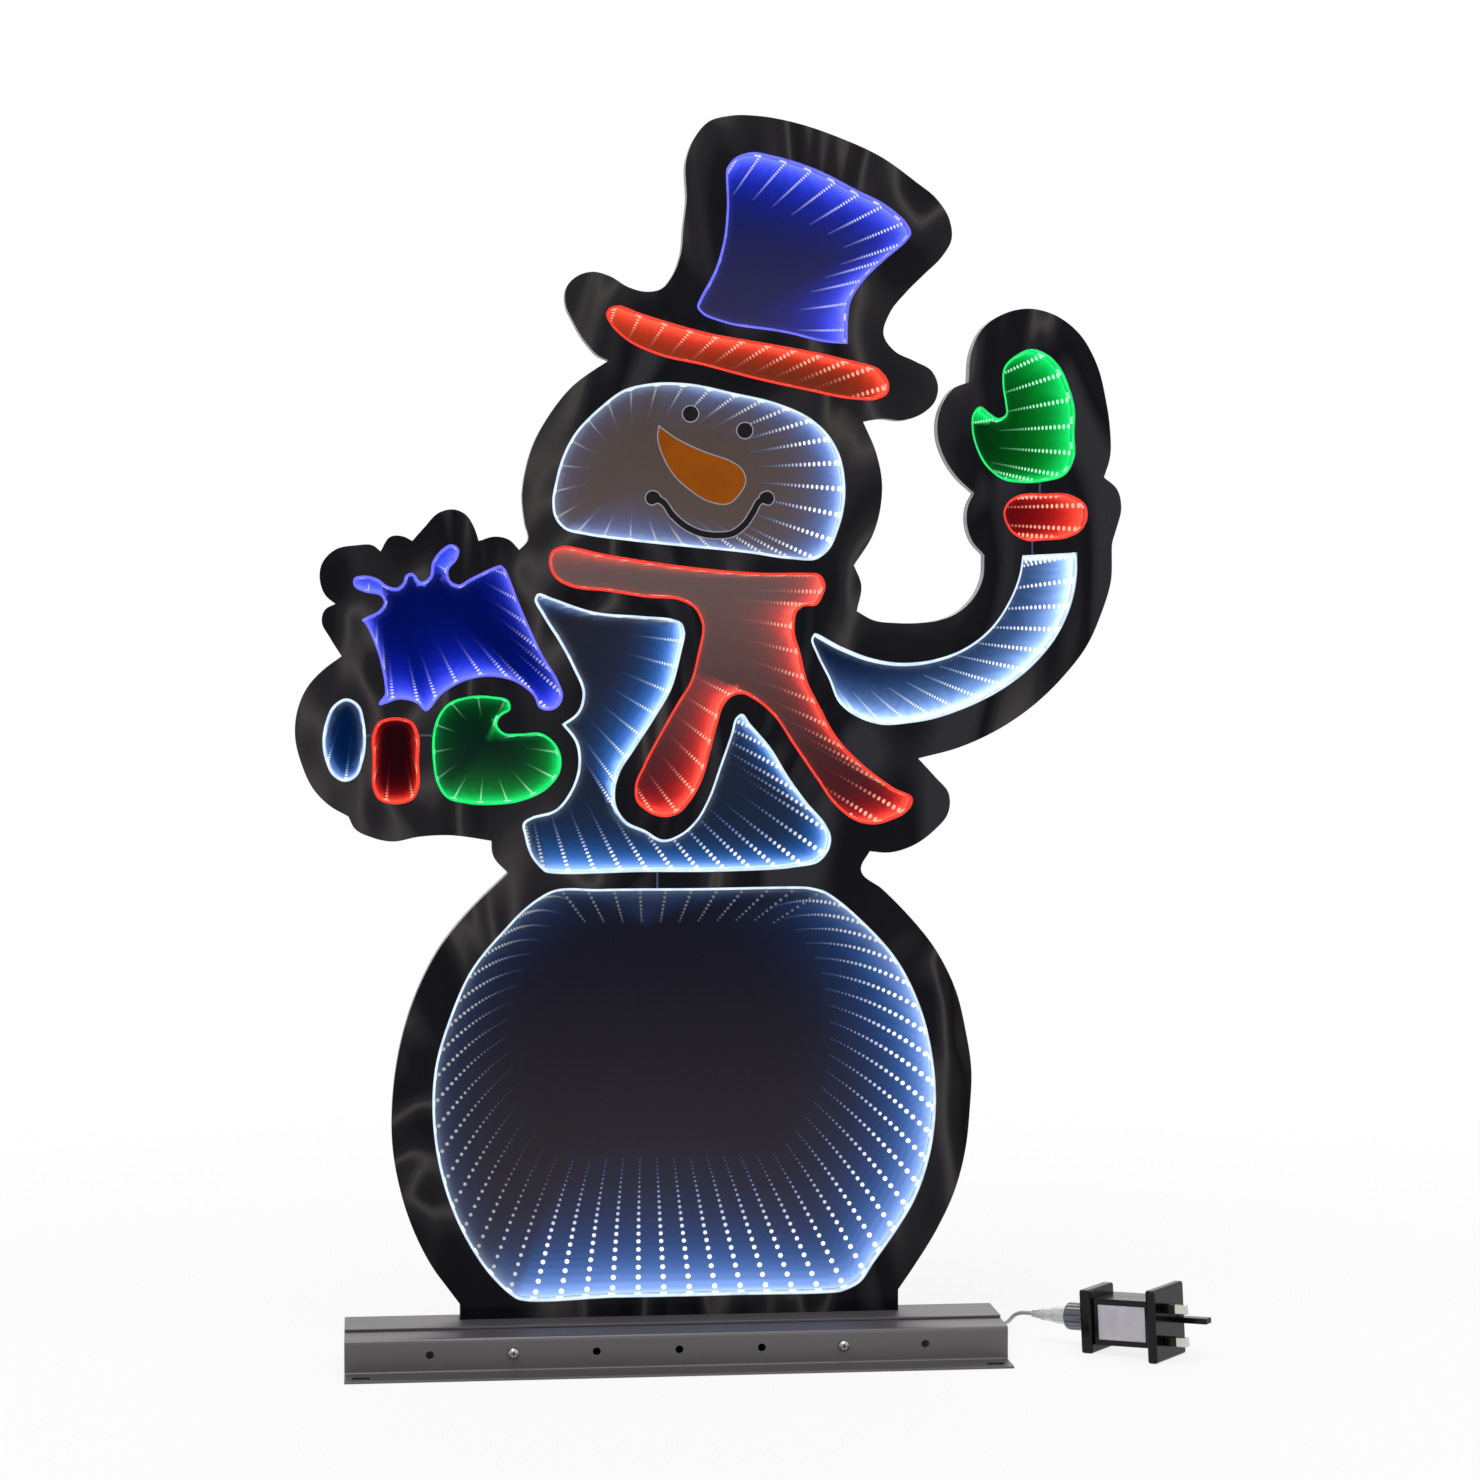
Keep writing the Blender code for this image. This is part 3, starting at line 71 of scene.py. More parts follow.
# Outline points as in the part's source: (x, z) in millimetres from the middle of the base and the floor
PANEL_STRETCH = (1.022, 1.017)
PANEL_SHIFT = (5.0, -13.6)
FOOT_HEIGHT_MM = 4.0
SLOPE_REACH = 1.5
MITRE_LEAST = 0.5
LOOP_STEP = 2.5 * MM
NOSE_STEP = 1.2 * MM
OUTLINE = [
    (-148, 49, SHARP), (-156, 60), (-166, 74), (-179, 100), (-189, 133), (-193, 160), (-193, 183),
    (-188, 222), (-176, 261), (-161, 290), (-138, 318), (-115, 340, SHARP), (-125, 352),
    (-126, 362, SHARP),
    (-155, 366), (-175, 365), (-192, 362), (-206, 365), (-217, 371), (-221, 379, SHARP), (-233, 386),
    (-243, 396), (-252, 415), (-256, 434), (-255, 447), (-248, 465), (-236, 478), (-225, 486, SHARP),
    (-233, 499), (-238, 509), (-236, 517), (-229, 521, SHARP), (-235, 526), (-239, 536), (-238, 547),
    (-229, 557), (-215, 560), (-204, 560), (-199, 556, SHARP), (-192, 566), (-184, 566),
    (-178, 563, SHARP), (-170, 572), (-160, 582), (-150, 584), (-143, 581), (-137, 572),
    (-134, 563, SHARP), (-123, 566), (-114, 564), (-107, 557, SHARP), (-101, 564), (-103, 574),
    (-105, 594), (-103, 609), (-97, 629), (-87, 647), (-72, 666), (-47, 684, SHARP), (-54, 687),
    (-64, 698), (-71, 710), (-76, 722), (-75, 733), (-68, 740), (-58, 743), (-46, 740), (-34, 733),
    (-21, 730), (-12, 732), (-5, 740), (1, 755), (3, 774),
    (5, 791), (5, 819), (11, 834), (20, 844), (34, 848), (55, 848), (78, 844), (109, 834), (136, 822),
    (159, 806), (174, 794), (183, 779), (184, 767), (178, 756), (165, 743), (153, 731), (142, 717),
    (138, 702), (145, 692), (159, 685), (171, 678), (175, 668), (173, 658), (165, 650), (151, 645),
    (136, 646), (124, 644, SHARP), (133, 623), (137, 603), (136, 586), (131, 568), (118, 547, SHARP),
    (123, 534), (120, 516, SHARP), (131, 510), (147, 508), (163, 508), (177, 510), (189, 515),
    (199, 524), (206, 538), (207, 554, SHARP), (199, 563), (195, 575), (196, 588), (200, 596, SHARP),
    (189, 606), (180, 619), (175, 634), (175, 646), (179, 658), (186, 667), (196, 671, SHARP),
    (198, 692), (206, 708), (219, 717), (237, 721), (252, 718), (270, 706), (284, 683), (290, 660),
    (293, 640), (293, 620), (289, 607, SHARP), (298, 599), (301, 586), (298, 573), (295, 563),
    (294, 536), (287, 513), (278, 493), (262, 472), (240, 451), (216, 435), (189, 423),
    (162, 416, SHARP), (174, 403), (183, 392), (183, 380), (172, 366), (157, 356), (142, 352),
    (129, 353, SHARP), (123, 341), (138, 327), (152, 313), (174, 286), (188, 258), (195, 230),
    (199, 203), (198, 176), (195, 148), (188, 121), (175, 93), (158, 66), (149, 53, SHARP),
]
WINDOWS = {
    "hat": [
        (32, 813), (36, 819), (47, 824), (64, 822), (91, 814), (120, 800), (140, 790), (154, 778),
        (157, 771), (153, 765), (138, 752), (124, 738), (116, 725), (114, 710), (114, 696, SHARP),
        (99, 697), (72, 703), (32, 709), (16, 715), (12, 720), (14, 726), (24, 745), (30, 766), (32, 788),
    ],
    "brim": [
        (-49, 715), (-47, 719), (-41, 721), (-26, 716), (16, 704), (68, 695), (109, 687), (136, 679),
        (142, 670), (141, 663), (134, 659), (116, 659), (89, 664), (47, 673), (16, 681), (-15, 688),
        (-36, 698), (-46, 708),
    ],
    "face": [
        (-85, 590), (-83, 602), (-79, 617), (-70, 635), (-54, 652), (-36, 665), (-19, 669), (7, 669),
        (37, 663), (67, 656), (89, 646), (101, 635), (108, 623), (112, 606), (112, 589), (108, 572),
        (101, 557), (93, 551), (76, 551), (47, 555), (7, 559), (-32, 563), (-62, 567), (-77, 571),
        (-83, 578),
    ],
    "scarf": [
        (-87, 546), (-85, 557), (-78, 560), (-52, 555), (-22, 550), (17, 545), (57, 542), (87, 542),
        (95, 541), (99, 534), (97, 526), (93, 520), (84, 519), (80, 516), (78, 503), (82, 488),
        (87, 468), (95, 452), (106, 432), (127, 410), (146, 396), (159, 388), (155, 380), (144, 374),
        (132, 371), (121, 373), (106, 384), (93, 402), (76, 427), (63, 446), (51, 456), (42, 460),
        (35, 458), (30, 452), (26, 440), (21, 421), (15, 401), (7, 387), (-1, 379), (-11, 377),
        (-22, 381), (-29, 388), (-30, 398), (-24, 413), (-13, 434), (-1, 455), (7, 468), (12, 486),
        (15, 508), (10, 518), (1, 523), (-22, 525), (-48, 529), (-72, 532), (-83, 538),
    ],
    "torso": [
        (-97, 524), (-95, 528), (-85, 525), (-58, 516), (-26, 513), (-5, 511), (2, 508), (4, 502),
        (1, 486), (-5, 464), (-17, 443), (-30, 423), (-40, 407), (-43, 396), (-42, 384), (-36, 375),
        (-22, 368), (-11, 362), (1, 366), (11, 375), (19, 389), (27, 411), (35, 434), (38, 444),
        (42, 447), (48, 440), (61, 425), (74, 404), (87, 386), (99, 372), (103, 363), (101, 353),
        (95, 346), (76, 342), (37, 340), (-22, 340), (-91, 341), (-99, 350), (-104, 365), (-105, 374),
        (-99, 378), (-83, 383), (-74, 394), (-68, 412), (-70, 428), (-79, 440, SHARP), (-68, 449),
        (-65, 460), (-72, 479), (-81, 496), (-91, 512),
    ],
    "right_arm": [
        (91, 501), (110, 492), (131, 484), (153, 481), (172, 483), (194, 491), (210, 503), (224, 523),
        (231, 541), (233, 554, SHARP), (271, 556, SHARP), (271, 541), (267, 520), (258, 500), (242, 480),
        (222, 464), (197, 451), (170, 442), (157, 440), (136, 439), (123, 443), (108, 454), (101, 470),
        (93, 486), (89, 497),
    ],
    "right_cuff": [
        (220, 584), (223, 590), (231, 595), (249, 596), (267, 595), (277, 588), (278, 579), (274, 571),
        (265, 566), (249, 564), (235, 564), (225, 570),
    ],
    "right_mitten": [
        (239, 694), (229, 690), (220, 681), (219, 669), (221, 656), (221, 649), (217, 647), (210, 651),
        (204, 655), (199, 650), (198, 640), (201, 627), (209, 613), (220, 605), (233, 603), (249, 604),
        (263, 609), (269, 620), (269, 636), (269, 655), (265, 669), (258, 683), (249, 691),
    ],
    "gift": [
        (-201, 454), (-197, 460), (-200, 484), (-208, 505), (-212, 511, SHARP), (-200, 517), (-197, 522),
        (-199, 526), (-211, 529), (-217, 533), (-217, 538), (-211, 540), (-201, 538), (-194, 533),
        (-188, 532), (-184, 536), (-183, 540), (-178, 542), (-172, 536), (-167, 539), (-165, 549),
        (-158, 558), (-152, 561), (-147, 558), (-148, 551), (-154, 543), (-153, 537), (-148, 534),
        (-140, 538), (-119, 547), (-116, 544), (-104, 514), (-91, 486), (-81, 469), (-78, 458),
        (-82, 451), (-94, 451), (-97, 458), (-109, 468), (-125, 472), (-141, 470), (-158, 461),
        (-170, 449), (-175, 454), (-186, 457),
    ],
    "left_mitten": [
        (-165, 433), (-163, 442), (-155, 454), (-141, 459), (-125, 459), (-114, 456), (-113, 450),
        (-119, 446), (-122, 441), (-118, 435), (-107, 434), (-92, 434), (-83, 427), (-79, 416),
        (-80, 408), (-87, 398), (-104, 389), (-125, 386), (-143, 387), (-156, 391), (-162, 400),
        (-165, 416),
    ],
    "left_cuff": [
        (-205, 416), (-205, 434), (-201, 442), (-193, 445), (-186, 445), (-178, 442), (-174, 434),
        (-174, 416), (-174, 398), (-178, 390), (-186, 387), (-193, 387), (-201, 390), (-205, 398),
    ],
    "left_wrist": [
        (-238, 427), (-236, 442), (-230, 454), (-222, 458), (-214, 454), (-210, 442), (-209, 430),
        (-211, 416), (-216, 405), (-223, 402), (-231, 406), (-236, 416),
    ],
    "body": [
        (-86, 328), (-53, 329), (11, 329), (88, 329), (99, 326), (108, 320), (124, 306), (148, 279),
        (164, 247), (173, 210), (175, 177), (171, 145), (160, 113), (148, 93), (133, 72), (122, 57),
        (111, 52), (38, 51), (-42, 51), (-111, 52), (-126, 66), (-145, 95), (-160, 135), (-166, 178),
        (-164, 210), (-154, 244), (-140, 275), (-118, 302), (-102, 318),
    ],
}
NOSE = [
    (-14, 641, SHARP), (-3, 633), (13, 625), (35, 617), (42, 612), (45, 604), (41, 595), (33, 588),
    (21, 589), (7, 597), (-3, 606), (-11, 619), (-15, 633),
]
MOUTH = [
    (-18, 592), (-12, 590), (-5, 581), (5, 572.5), (16, 568), (25.5, 567), (36, 568.5), (44, 574.5),
    (50, 583.5), (54, 590), (59, 592),
]

# Meshing of flat shapes: faces inside the outline only, and the distances that count as none
INSIDE_ONLY = 1
SHEET_MERGE = 1e-9
GLOW_MERGE = 1e-7
TINY = 1e-6
PARALLEL = 1e-12

# Noise fields: the ends that clouds of colour and of gloss run between, their scales as shares of a grain,
# and how far the gloss spreads
CLOUD_ENDS = (0.3, 0.7)
GLOSS_ENDS = (0.25, 0.75)
CLOUD_SCALE = 0.12
GLOSS_SCALE = 0.3
SCUFFS = 0.06

# The sheets: the rounding of their edges, the clamp holes, and the angles up to which edges look smooth
SHEET_EDGE = 0.35 * MM
EDGE_SHARE = 0.3
CLAMP_HOLE = 2.3 * MM
CLAMP_SIDES = 32
PANEL_ANGLE = 25
TRIM_ANGLE = 30
# A face turned at least this far to the front or the back is shaded flat
FACES_FRONT = 0.9999
# Screen colours of the painted reflections, a soft sheen, on the smoked sheet, at places of a noise field
PAINTED_SHEEN = (
    (0.30, (48, 47, 52)), (0.39, (13, 14, 19)), (0.46, (20, 20, 25)), (0.52, (40, 38, 41)),
    (0.555, (70, 66, 66)), (0.59, (34, 32, 35)), (0.66, (12, 13, 19)), (0.76, (48, 42, 40)),
)

# Grooves for the wires, and the slots in the front sheet where light shows from some of them
GROOVE_REAM = 0.5 * MM
GROOVE_OVER = 1.5 * MM
LEAKS = ["jumper_" + word for word in ("torso_body", "arm_cuff", "cuff_mitten", "cuff_wrist", "mitten_cuff")]
LEAK_HALF = 0.8 * MM
LEAK_STEP = 0.1 * MM
LEAK_MOST = 20 * MM

# The strips, the light packages on them and the bright line along their front edge
STRIP_INSETS = (0.3 * MM, 1.2 * MM)
LED_PITCH = 18.0 * MM
FEWEST_LEDS = 6
PACKAGE_HALF = 2.3 * MM
PACKAGE_RISE = 0.9 * MM
PACKAGE_SHOULDER = 0.7
PACKAGE_TOP = 0.72
LINE_INSET = 1.0 * MM
LINE_RADIUS = 0.8 * MM
LINE_BEHIND = 1.2 * MM
LINE_SIDES = 6
PACKAGE_SLOT = 1
LINE_SLOT = 2
LIT_SCALE = 120
LIT_SHADE = 0.7

# The face: half the width of the smile, the radius of its ends and the width of the pale outlines, which glow with
# painted light
EYES = ("left_eye", "right_eye")
EYE_SIDES = 40
MOUTH_HALF = 2.8 * MM
MOUTH_END = 5.4 * MM
MOUTH_PARTS = 6
CAP_PARTS = 12
PALE_WIDTH = 0.75 * MM
CLEAR_SHARE = 0.9

# The photo's camera, and a picture side in pixels
CAMERA_PLACE = Vector((-0.2382, -2.3761, 0.5199))
CAMERA_AZIMUTH = math.radians(-6.15)
CAMERA_PITCH = math.radians(2.32)
FOCAL_PX = 3494.0
IMAGE_PX = 1480.0
SENSOR_MM = 36.0

# The studio: each lamp's name, place, size and power, where the lamps aim, and the whites round the object
LAMPS = (
    ("key", (-0.6, -1.0, 2.9), 1.6, 46), ("fill", (1.9, -1.4, 1.6), 1.4, 9),
    ("rim", (0.4, 2.2, 2.0), 1.4, 16),
)
LAMP_AIM = Vector((0, 0, 0.35))
WORLD_LIGHT = 0.42
FLOOR_RADIUS = 30.0
FLOOR_SIDES = 96
FLOOR_PAINT = 0.86
FLOOR_NEAR = 0.84
FLOOR_FAR = 1.0
FLOOR_FADE = (0.25, 1.4)
UNDER_BASE = 1.5 * MM

# The colour word of each window's strip
COLOUR_OF = {
    "hat": "blue", "gift": "blue", "brim": "red", "scarf": "red", "right_cuff": "red", "left_cuff": "red",
    "right_mitten": "green", "left_mitten": "green", "face": "white", "torso": "white",
    "right_arm": "white", "left_wrist": "white", "body": "white",
}
# Screen colours of the beads, the line, the near glow and the edge glow of each strip colour
SHADES = {
    "blue": ((205, 210, 255), (112, 112, 255), (14, 46, 255), (140, 152, 255)),
    "red": ((255, 176, 150), (255, 60, 44), (205, 12, 18), (255, 104, 76)),
    "green": ((170, 255, 205), (24, 236, 116), (0, 166, 36), (30, 220, 130)),
    "white": ((250, 252, 255), (214, 234, 255), (36, 138, 255), (225, 238, 255)),
}
# Each window's rows of reflected lights: the pixel that they run to, the first step as a share of the way
# there, how many reflections they fade over, how far the glow reaches in millimetres and how strong it is,
# and the screen colours of its painted ambient reflection, which glows where no strip light shows, at the top and
# at the foot
ROWS = {
    "hat": ((642, 327), 0.0130, 13.0, 16.0, 1.40, (12, 24, 78), (50, 48, 84)),
    "brim": ((560, 480), 0.0165, 5.5, 10.0, 1.80, (112, 52, 26), (104, 46, 26)),
    "face": ((636, 471), 0.0300, 8.0, 10.0, 1.15, (82, 70, 65), (92, 79, 75)),
    "scarf": ((510, 584), 0.0135, 6.0, 9.0, 2.20, (106, 86, 84), (68, 24, 30)),
    "torso": ((494, 618), 0.0165, 6.0, 8.5, 1.70, (36, 38, 52), (28, 40, 60)),
    "right_arm": ((790, 620), 0.0190, 12.0, 15.0, 2.30, (6, 22, 58), (4, 18, 50)),
    "right_cuff": ((792, 512), 0.0200, 12.0, 20.0, 1.80, (56, 8, 12), (56, 8, 12)),
    "right_mitten": ((868, 437), 0.0240, 12.0, 18.0, 1.55, (2, 40, 14), (4, 32, 13)),
    "gift": ((379, 526), 0.0200, 5.0, 12.0, 1.45, (2, 14, 88), (2, 14, 92)),
    "left_mitten": ((487, 744), 0.0350, 7.0, 9.0, 1.15, (4, 28, 20), (20, 42, 36)),
    "left_cuff": ((396, 700), 0.0300, 3.0, 4.0, 1.40, (34, 5, 10), (34, 5, 10)),
    "left_wrist": ((364, 640), 0.0200, 3.0, 4.0, 0.80, (2, 26, 66), (2, 28, 72)),
    "body": ((644, 850), 0.0250, 9.0, 22.0, 1.00, (24, 24, 36), (54, 48, 52)),
}
# Screen colours of the near glow where it is paler than the strip's own
PALE_NEAR = {"right_arm": (112, 160, 238)}
# Where rows bend to as they go deeper, for a window whose rows don't run straight. Rows that start near the
# first target's height run to the second one from the start, with longer steps, fewer images and less light.
BENDS_TO = {"body": (650, 1010)}
BEND_SHARE = 0.9
TURN_BACK = 34.0 * MM
TURNED_STEP = 1.7
TURNED_IMAGES = 9
TURNED_SHINE = 0.4
# The way that the brightest edges of a window face, and the least share of light that its other edges have
FAR_SIDE = {
    "body": ((0.75, -0.66), 0.09), "face": ((0.9, -0.2), 0.12), "left_mitten": ((0.6, -0.8), 0.15),
    "scarf": ((0.5, -0.87), 0.4), "torso": ((0.8, -0.6), 0.2), "gift": ((0.3, -0.95), 0.3),
}
FAR_TURN = (-0.25, 0.65)
ROW_LEAST = 0.3
# Beads of the rows: how many, how much of a step the first one is nearer, how deep they lie, how they fade,
# and their half sizes
IMAGES = 22
FIRST_IMAGE = 0.4
ROW_INSET = 1.6 * MM
ROW_SHALLOW = 2.0 * MM
ROW_DEEP = 1.2 * MM
DEEP_AFTER = 9
BEAD_PALE = 2.2
BEAD_DIM = 0.1
BEAD_SHINE = 1.5
BEAD_WIDEST = 2.0 * MM
BEAD_SHRINKS = 0.08 * MM
BEAD_SMALLEST = 0.5 * MM
BEAD_EVEN = 0.5
BEAD_ACROSS = 0.55
BEAD_ALONG = 0.3
BEAD_SIDES = 10
BEAD_CROWN = 0.55
BEAD_RISE = 0.45
# The glow behind the rows: its edge, a rim and an even grid inside, its depth, and how its light is made up
GLOW_INSETS = (1.3 * MM, 2.9 * MM, 4.6 * MM)
GRID_STEP = 3.0 * MM
GRID_RISE = 0.866
GLOW_BEHIND = 0.6 * MM
GLOW_THICK = 0.3 * MM
EDGE_LIGHT = 0.62
EDGE_REACH = 0.36
HALO_LIGHT = 0.22
HALO_REACH = 1.5 * MM
BAND = 0.1
LIGHT_LAYER = "light"

# The lead as in the part's source: (x, y, height of its middle) in millimetres from the middle of the base
CORD_DIAMETER_MM = 3.0
CORD_ROUNDING = 3
GLAND_X_MM = 25.0
GLAND_END_MM = 45.3
HOLE_HEIGHT_MM = 13.0
COIL_OUTER_MM = 23.3
COIL_CENTRE_MM = (GLAND_X_MM - COIL_OUTER_MM, 102.0)
COIL_PITCH_MM = 3.55
COIL_TURNS_PER_LAYER = 3
COIL_LAYERS = 4
COIL_HEIGHT_MM = 2.7
CLIMB_TURNS = 0.5
COIL_POINTS = 36
BASE_END_MM = 225.0
CORD_STEP_MM = 3.0
CLEARANCE_MM = 0.3
# How far behind the collar's joint the strain relief ends
RELIEF_REACH_MM = 37.0

# The sleeves on the adapter's pins, the eased edges, the base's sheet and the clamp screws' heads
SLEEVED = ["pin_live", "pin_neutral"]
SLEEVE_LENGTH = 9.4 * MM
SLEEVE_WALL = 0.2 * MM
SLEEVE_EASE = 0.15 * MM
SIDEWAYS_LEAST = 0.01
NODE_EASE = 0.4 * MM
EASE_SEGMENTS = 3
EASE_ANGLE = math.radians(40)
SHEET = 1.6 * MM
# How far behind the screw heads the painted shade in the hollow under the rails starts, and how far below the
# rails' top it ends
HOLLOW_FRONT = 0.8 * SHEET
HOLLOW_TOP = 1.2 * SHEET
SCREW_HEAD = 2.9 * MM
# The margin of the painted shade round the peg slots
SLOT_EDGE = 0.3 * MM
# The dark cross of painted shade that stands for a screw head's recess: its arm, half width, how proud and how
# deep
RECESS_ARM = 1.9 * MM
RECESS_HALF = 0.45 * MM
RECESS_PROUD = 0.04 * MM
RECESS_DEPTH = 0.3 * MM
WELD = 0.01 * MM
# Surfaces of CAD nodes that stay: dark and light screen colour, roughness, grain, relief and share of metal,
# other values of the shader, and the nodes
SURFACES = {
    "zinc steel": ((128, 128, 130), (160, 160, 160), 0.3, 900, 0.00003, 1.0, {},
                   ["clamp_screw_left", "clamp_screw_right", "clamp_nut_left", "clamp_nut_right"]),
    "gloss black plastic": ((8, 8, 9), (13, 13, 14), 0.16, 600, 0.00002, 0.0, {"Specular_IOR_Level": 0.22},
                            ["adapter_spigot", "end_plate", "case_front", "case_rear", "pin_plate",
                             "earth_pin"]),
    "nickel pin": ((196, 190, 180), (222, 218, 208), 0.2, 700, 0.00002, 1.0, {}, SLEEVED),
    "silver label": ((178, 173, 182), (196, 191, 200), 0.35, 900, 0.00001, 0.3, {}, ["blank_label"]),
    "smoky collar": ((88, 92, 102), (106, 110, 120), 0.2, 900, 0.00004, 0.0,
                     {"Transmission_Weight": 0.3, "Coat_Weight": 0.5, "Coat_Roughness": 0.06},
                     ["collar_nut"]),
    "clear moulding": ((205, 208, 208), (226, 228, 228), 0.12, 400, 0.00003, 0.0,
                       {"Transmission_Weight": 0.35, "Coat_Weight": 0.5, "Coat_Roughness": 0.05},
                       ["connector_body", "strain_relief"]),
    "seal rubber": ((18, 18, 18), (28, 28, 28), 0.7, 900, 0.00003, 0.0, {}, ["sealing_ring"]),
    "circuit board": ((18, 92, 44), (26, 112, 56), 0.4, 700, 0.00003, 0.0, {}, ["circuit_board"]),
    "transformer": ((170, 140, 60), (196, 164, 84), 0.5, 700, 0.00005, 0.0, {}, ["transformer"]),
    "white tie": ((214, 214, 210), (232, 232, 228), 0.45, 700, 0.00004, 0.0, {}, ["coil_tie"]),
    "black gland": ((20, 20, 20), (30, 30, 30), 0.5, 900, 0.00005, 0.0, {}, ["cable_gland"]),
}
EASED = (
    "end_plate", "case_front", "case_rear", "pin_plate", "pin_live", "pin_neutral", "earth_pin",
    "blank_label", "connector_body", "collar_nut", "base_front_rail", "base_rear_rail",
)


def srgb(red, green, blue):
    """A screen colour from 0 to 255 as linear light."""
    def line(value):
        value /= 255
        return value / 12.92 if value <= 0.04045 else ((value + 0.055) / 1.055) ** 2.4
    return (line(red), line(green), line(blue))


def light_of(shades):
    """The colours of a strip's light by what they are for."""
    return {kind: Vector(srgb(*shade)) for kind, shade in zip(("bead", "line", "near", "edge"), shades)}


LIGHT = {word: light_of(shades) for word, shades in SHADES.items()}


def set_sockets(node, values):
    """Sets a node's sockets: a field is linked, and a plain value is set."""
    for key, value in values.items():
        socket = node.inputs[key.replace("_", " ")]
        if isinstance(value, bpy.types.NodeSocket):
            node.id_data.links.new(value, socket)
        else:
            socket.default_value = value


def add_node(tree, kind, **values):
    """A new shader node with its sockets set."""
    node = tree.nodes.new("ShaderNode" + kind)
    set_sockets(node, values)
    return node


def new_material(name, colour=(0.5, 0.5, 0.5), roughness=0.5, metallic=0.0, **sockets):
    """A Principled material with its plain values set, its node tree and its shader."""
    material = bpy.data.materials.new(name)
    material.use_nodes = True
    tree = material.node_tree
    shader = tree.nodes["Principled BSDF"]
    set_sockets(shader, {"Base Color": (*colour, 1.0), "Roughness": roughness, "Metallic": metallic})
    set_sockets(shader, sockets)
    return material, tree, shader


def noise(tree, scale, detail=3.0, stretch=(1, 1, 1), swirl=0.0):
    """A noise field over the object's own space, stretched along an axis or swirled if asked."""
    place = add_node(tree, "TexCoord").outputs["Object"]
    turned = add_node(tree, "Mapping", Vector=place, Scale=stretch).outputs["Vector"]
    field = add_node(tree, "TexNoise", Vector=turned, Scale=scale, Detail=detail, Distortion=swirl)
    return field.outputs["Fac"]


def bands(tree, value, stops):
    """Colours at several places of a field."""
    node = add_node(tree, "ValToRGB", Fac=value)
    elements = node.color_ramp.elements
    while len(elements) < len(stops):
        elements.new(1.0)
    for element, (place, colour) in zip(elements, stops):
        element.position = place
        element.color = (*colour, 1.0)
    return node.outputs["Color"]


def ramp(tree, value, low, high):
    """Colours between the two ends that a noise field mostly stays within."""
    return bands(tree, value, tuple(zip(CLOUD_ENDS, (low, high))))


def mixed(tree, share, colour, other):
    """A field of colour that goes over to another colour where a share is one."""
    node = tree.nodes.new("ShaderNodeMix")
    node.data_type = "RGBA"
    set_sockets(node, {"Factor": share, "A": colour, "B": (*other, 1.0)})
    return node.outputs["Result"]


def spread(tree, value, low, high):
    """A noise field brought between two numbers."""
    start, end = GLOSS_ENDS
    node = add_node(tree, "MapRange", Value=value, From_Min=start, From_Max=end, To_Min=low, To_Max=high)
    return node.outputs["Result"]


def bump(tree, height, distance, strength=1.0):
    """Normals with fine relief from a field."""
    return add_node(tree, "Bump", Height=height, Distance=distance, Strength=strength).outputs["Normal"]


def maths(tree, word, *values):
    """One sum of fields and numbers."""
    node = tree.nodes.new("ShaderNodeMath")
    node.operation = word
    for socket, value in zip(node.inputs, values):
        if isinstance(value, float):
            socket.default_value = value
        else:
            tree.links.new(value, socket)
    return node.outputs[0]


def in_box(tree, low, high):
    """One inside a box of the object's own space and nothing outside it."""
    place = add_node(tree, "TexCoord").outputs["Object"]
    for word, value in (("SUBTRACT", (low + high) / 2), ("ABSOLUTE", None), ("DIVIDE", (high - low) / 2)):
        step = tree.nodes.new("ShaderNodeVectorMath")
        step.operation = word
        tree.links.new(place, step.inputs[0])
        if value is not None:
            step.inputs[1].default_value = value
        place = step.outputs["Vector"]
    split = add_node(tree, "SeparateXYZ", Vector=place).outputs
    farthest = maths(tree, "MAXIMUM", maths(tree, "MAXIMUM", split["X"], split["Y"]), split["Z"])
    return maths(tree, "LESS_THAN", farthest, 1.0)


def grained(name, dark, light, roughness, grain, relief, metallic=0.0, **sockets):
    """A surface with cloudy screen colours, uneven gloss and a fine relief of its own grain size."""
    dark = srgb(*dark)
    light = srgb(*light)
    material, tree, shader = new_material(name, light, roughness, metallic, **sockets)
    set_sockets(shader, {
        "Base Color": ramp(tree, noise(tree, grain * CLOUD_SCALE, 4.0), dark, light),
        "Roughness": spread(tree, noise(tree, grain * GLOSS_SCALE, 5.0), roughness - SCUFFS,
                            roughness + SCUFFS),
        "Normal": bump(tree, noise(tree, grain, 4.0), relief),
    })
    return material


def glowing(name, strength, roughness=0.3):
    """A lit surface whose colour is kept point by point in the mesh."""
    material, tree, shader = new_material(name, (0.0, 0.0, 0.0), roughness, Specular_IOR_Level=0.0,
                                          Emission_Strength=strength)
    colour = add_node(tree, "Attribute")
    colour.attribute_name = LIGHT_LAYER
    set_sockets(shader, {"Emission Color": colour.outputs["Color"]})
    material.cycles.emission_sampling = "NONE"
    return material


def lit_finish(name, colour, strength):
    """A lit strip surface, uneven along its length."""
    material, tree, shader = new_material(name, (0.02, 0.02, 0.02), 0.5, Specular_IOR_Level=0.1,
                                          Emission_Strength=strength)
    shade = [part * LIT_SHADE for part in colour]
    set_sockets(shader, {"Emission Color": ramp(tree, noise(tree, LIT_SCALE, 2.0), shade, colour)})
    material.cycles.emission_sampling = "NONE"
    return material


def strip_finishes(name, kind, strength):
    """A lit surface for each strip colour."""
    return {word: lit_finish(word + name, LIGHT[word][kind], strength) for word in LIGHT}


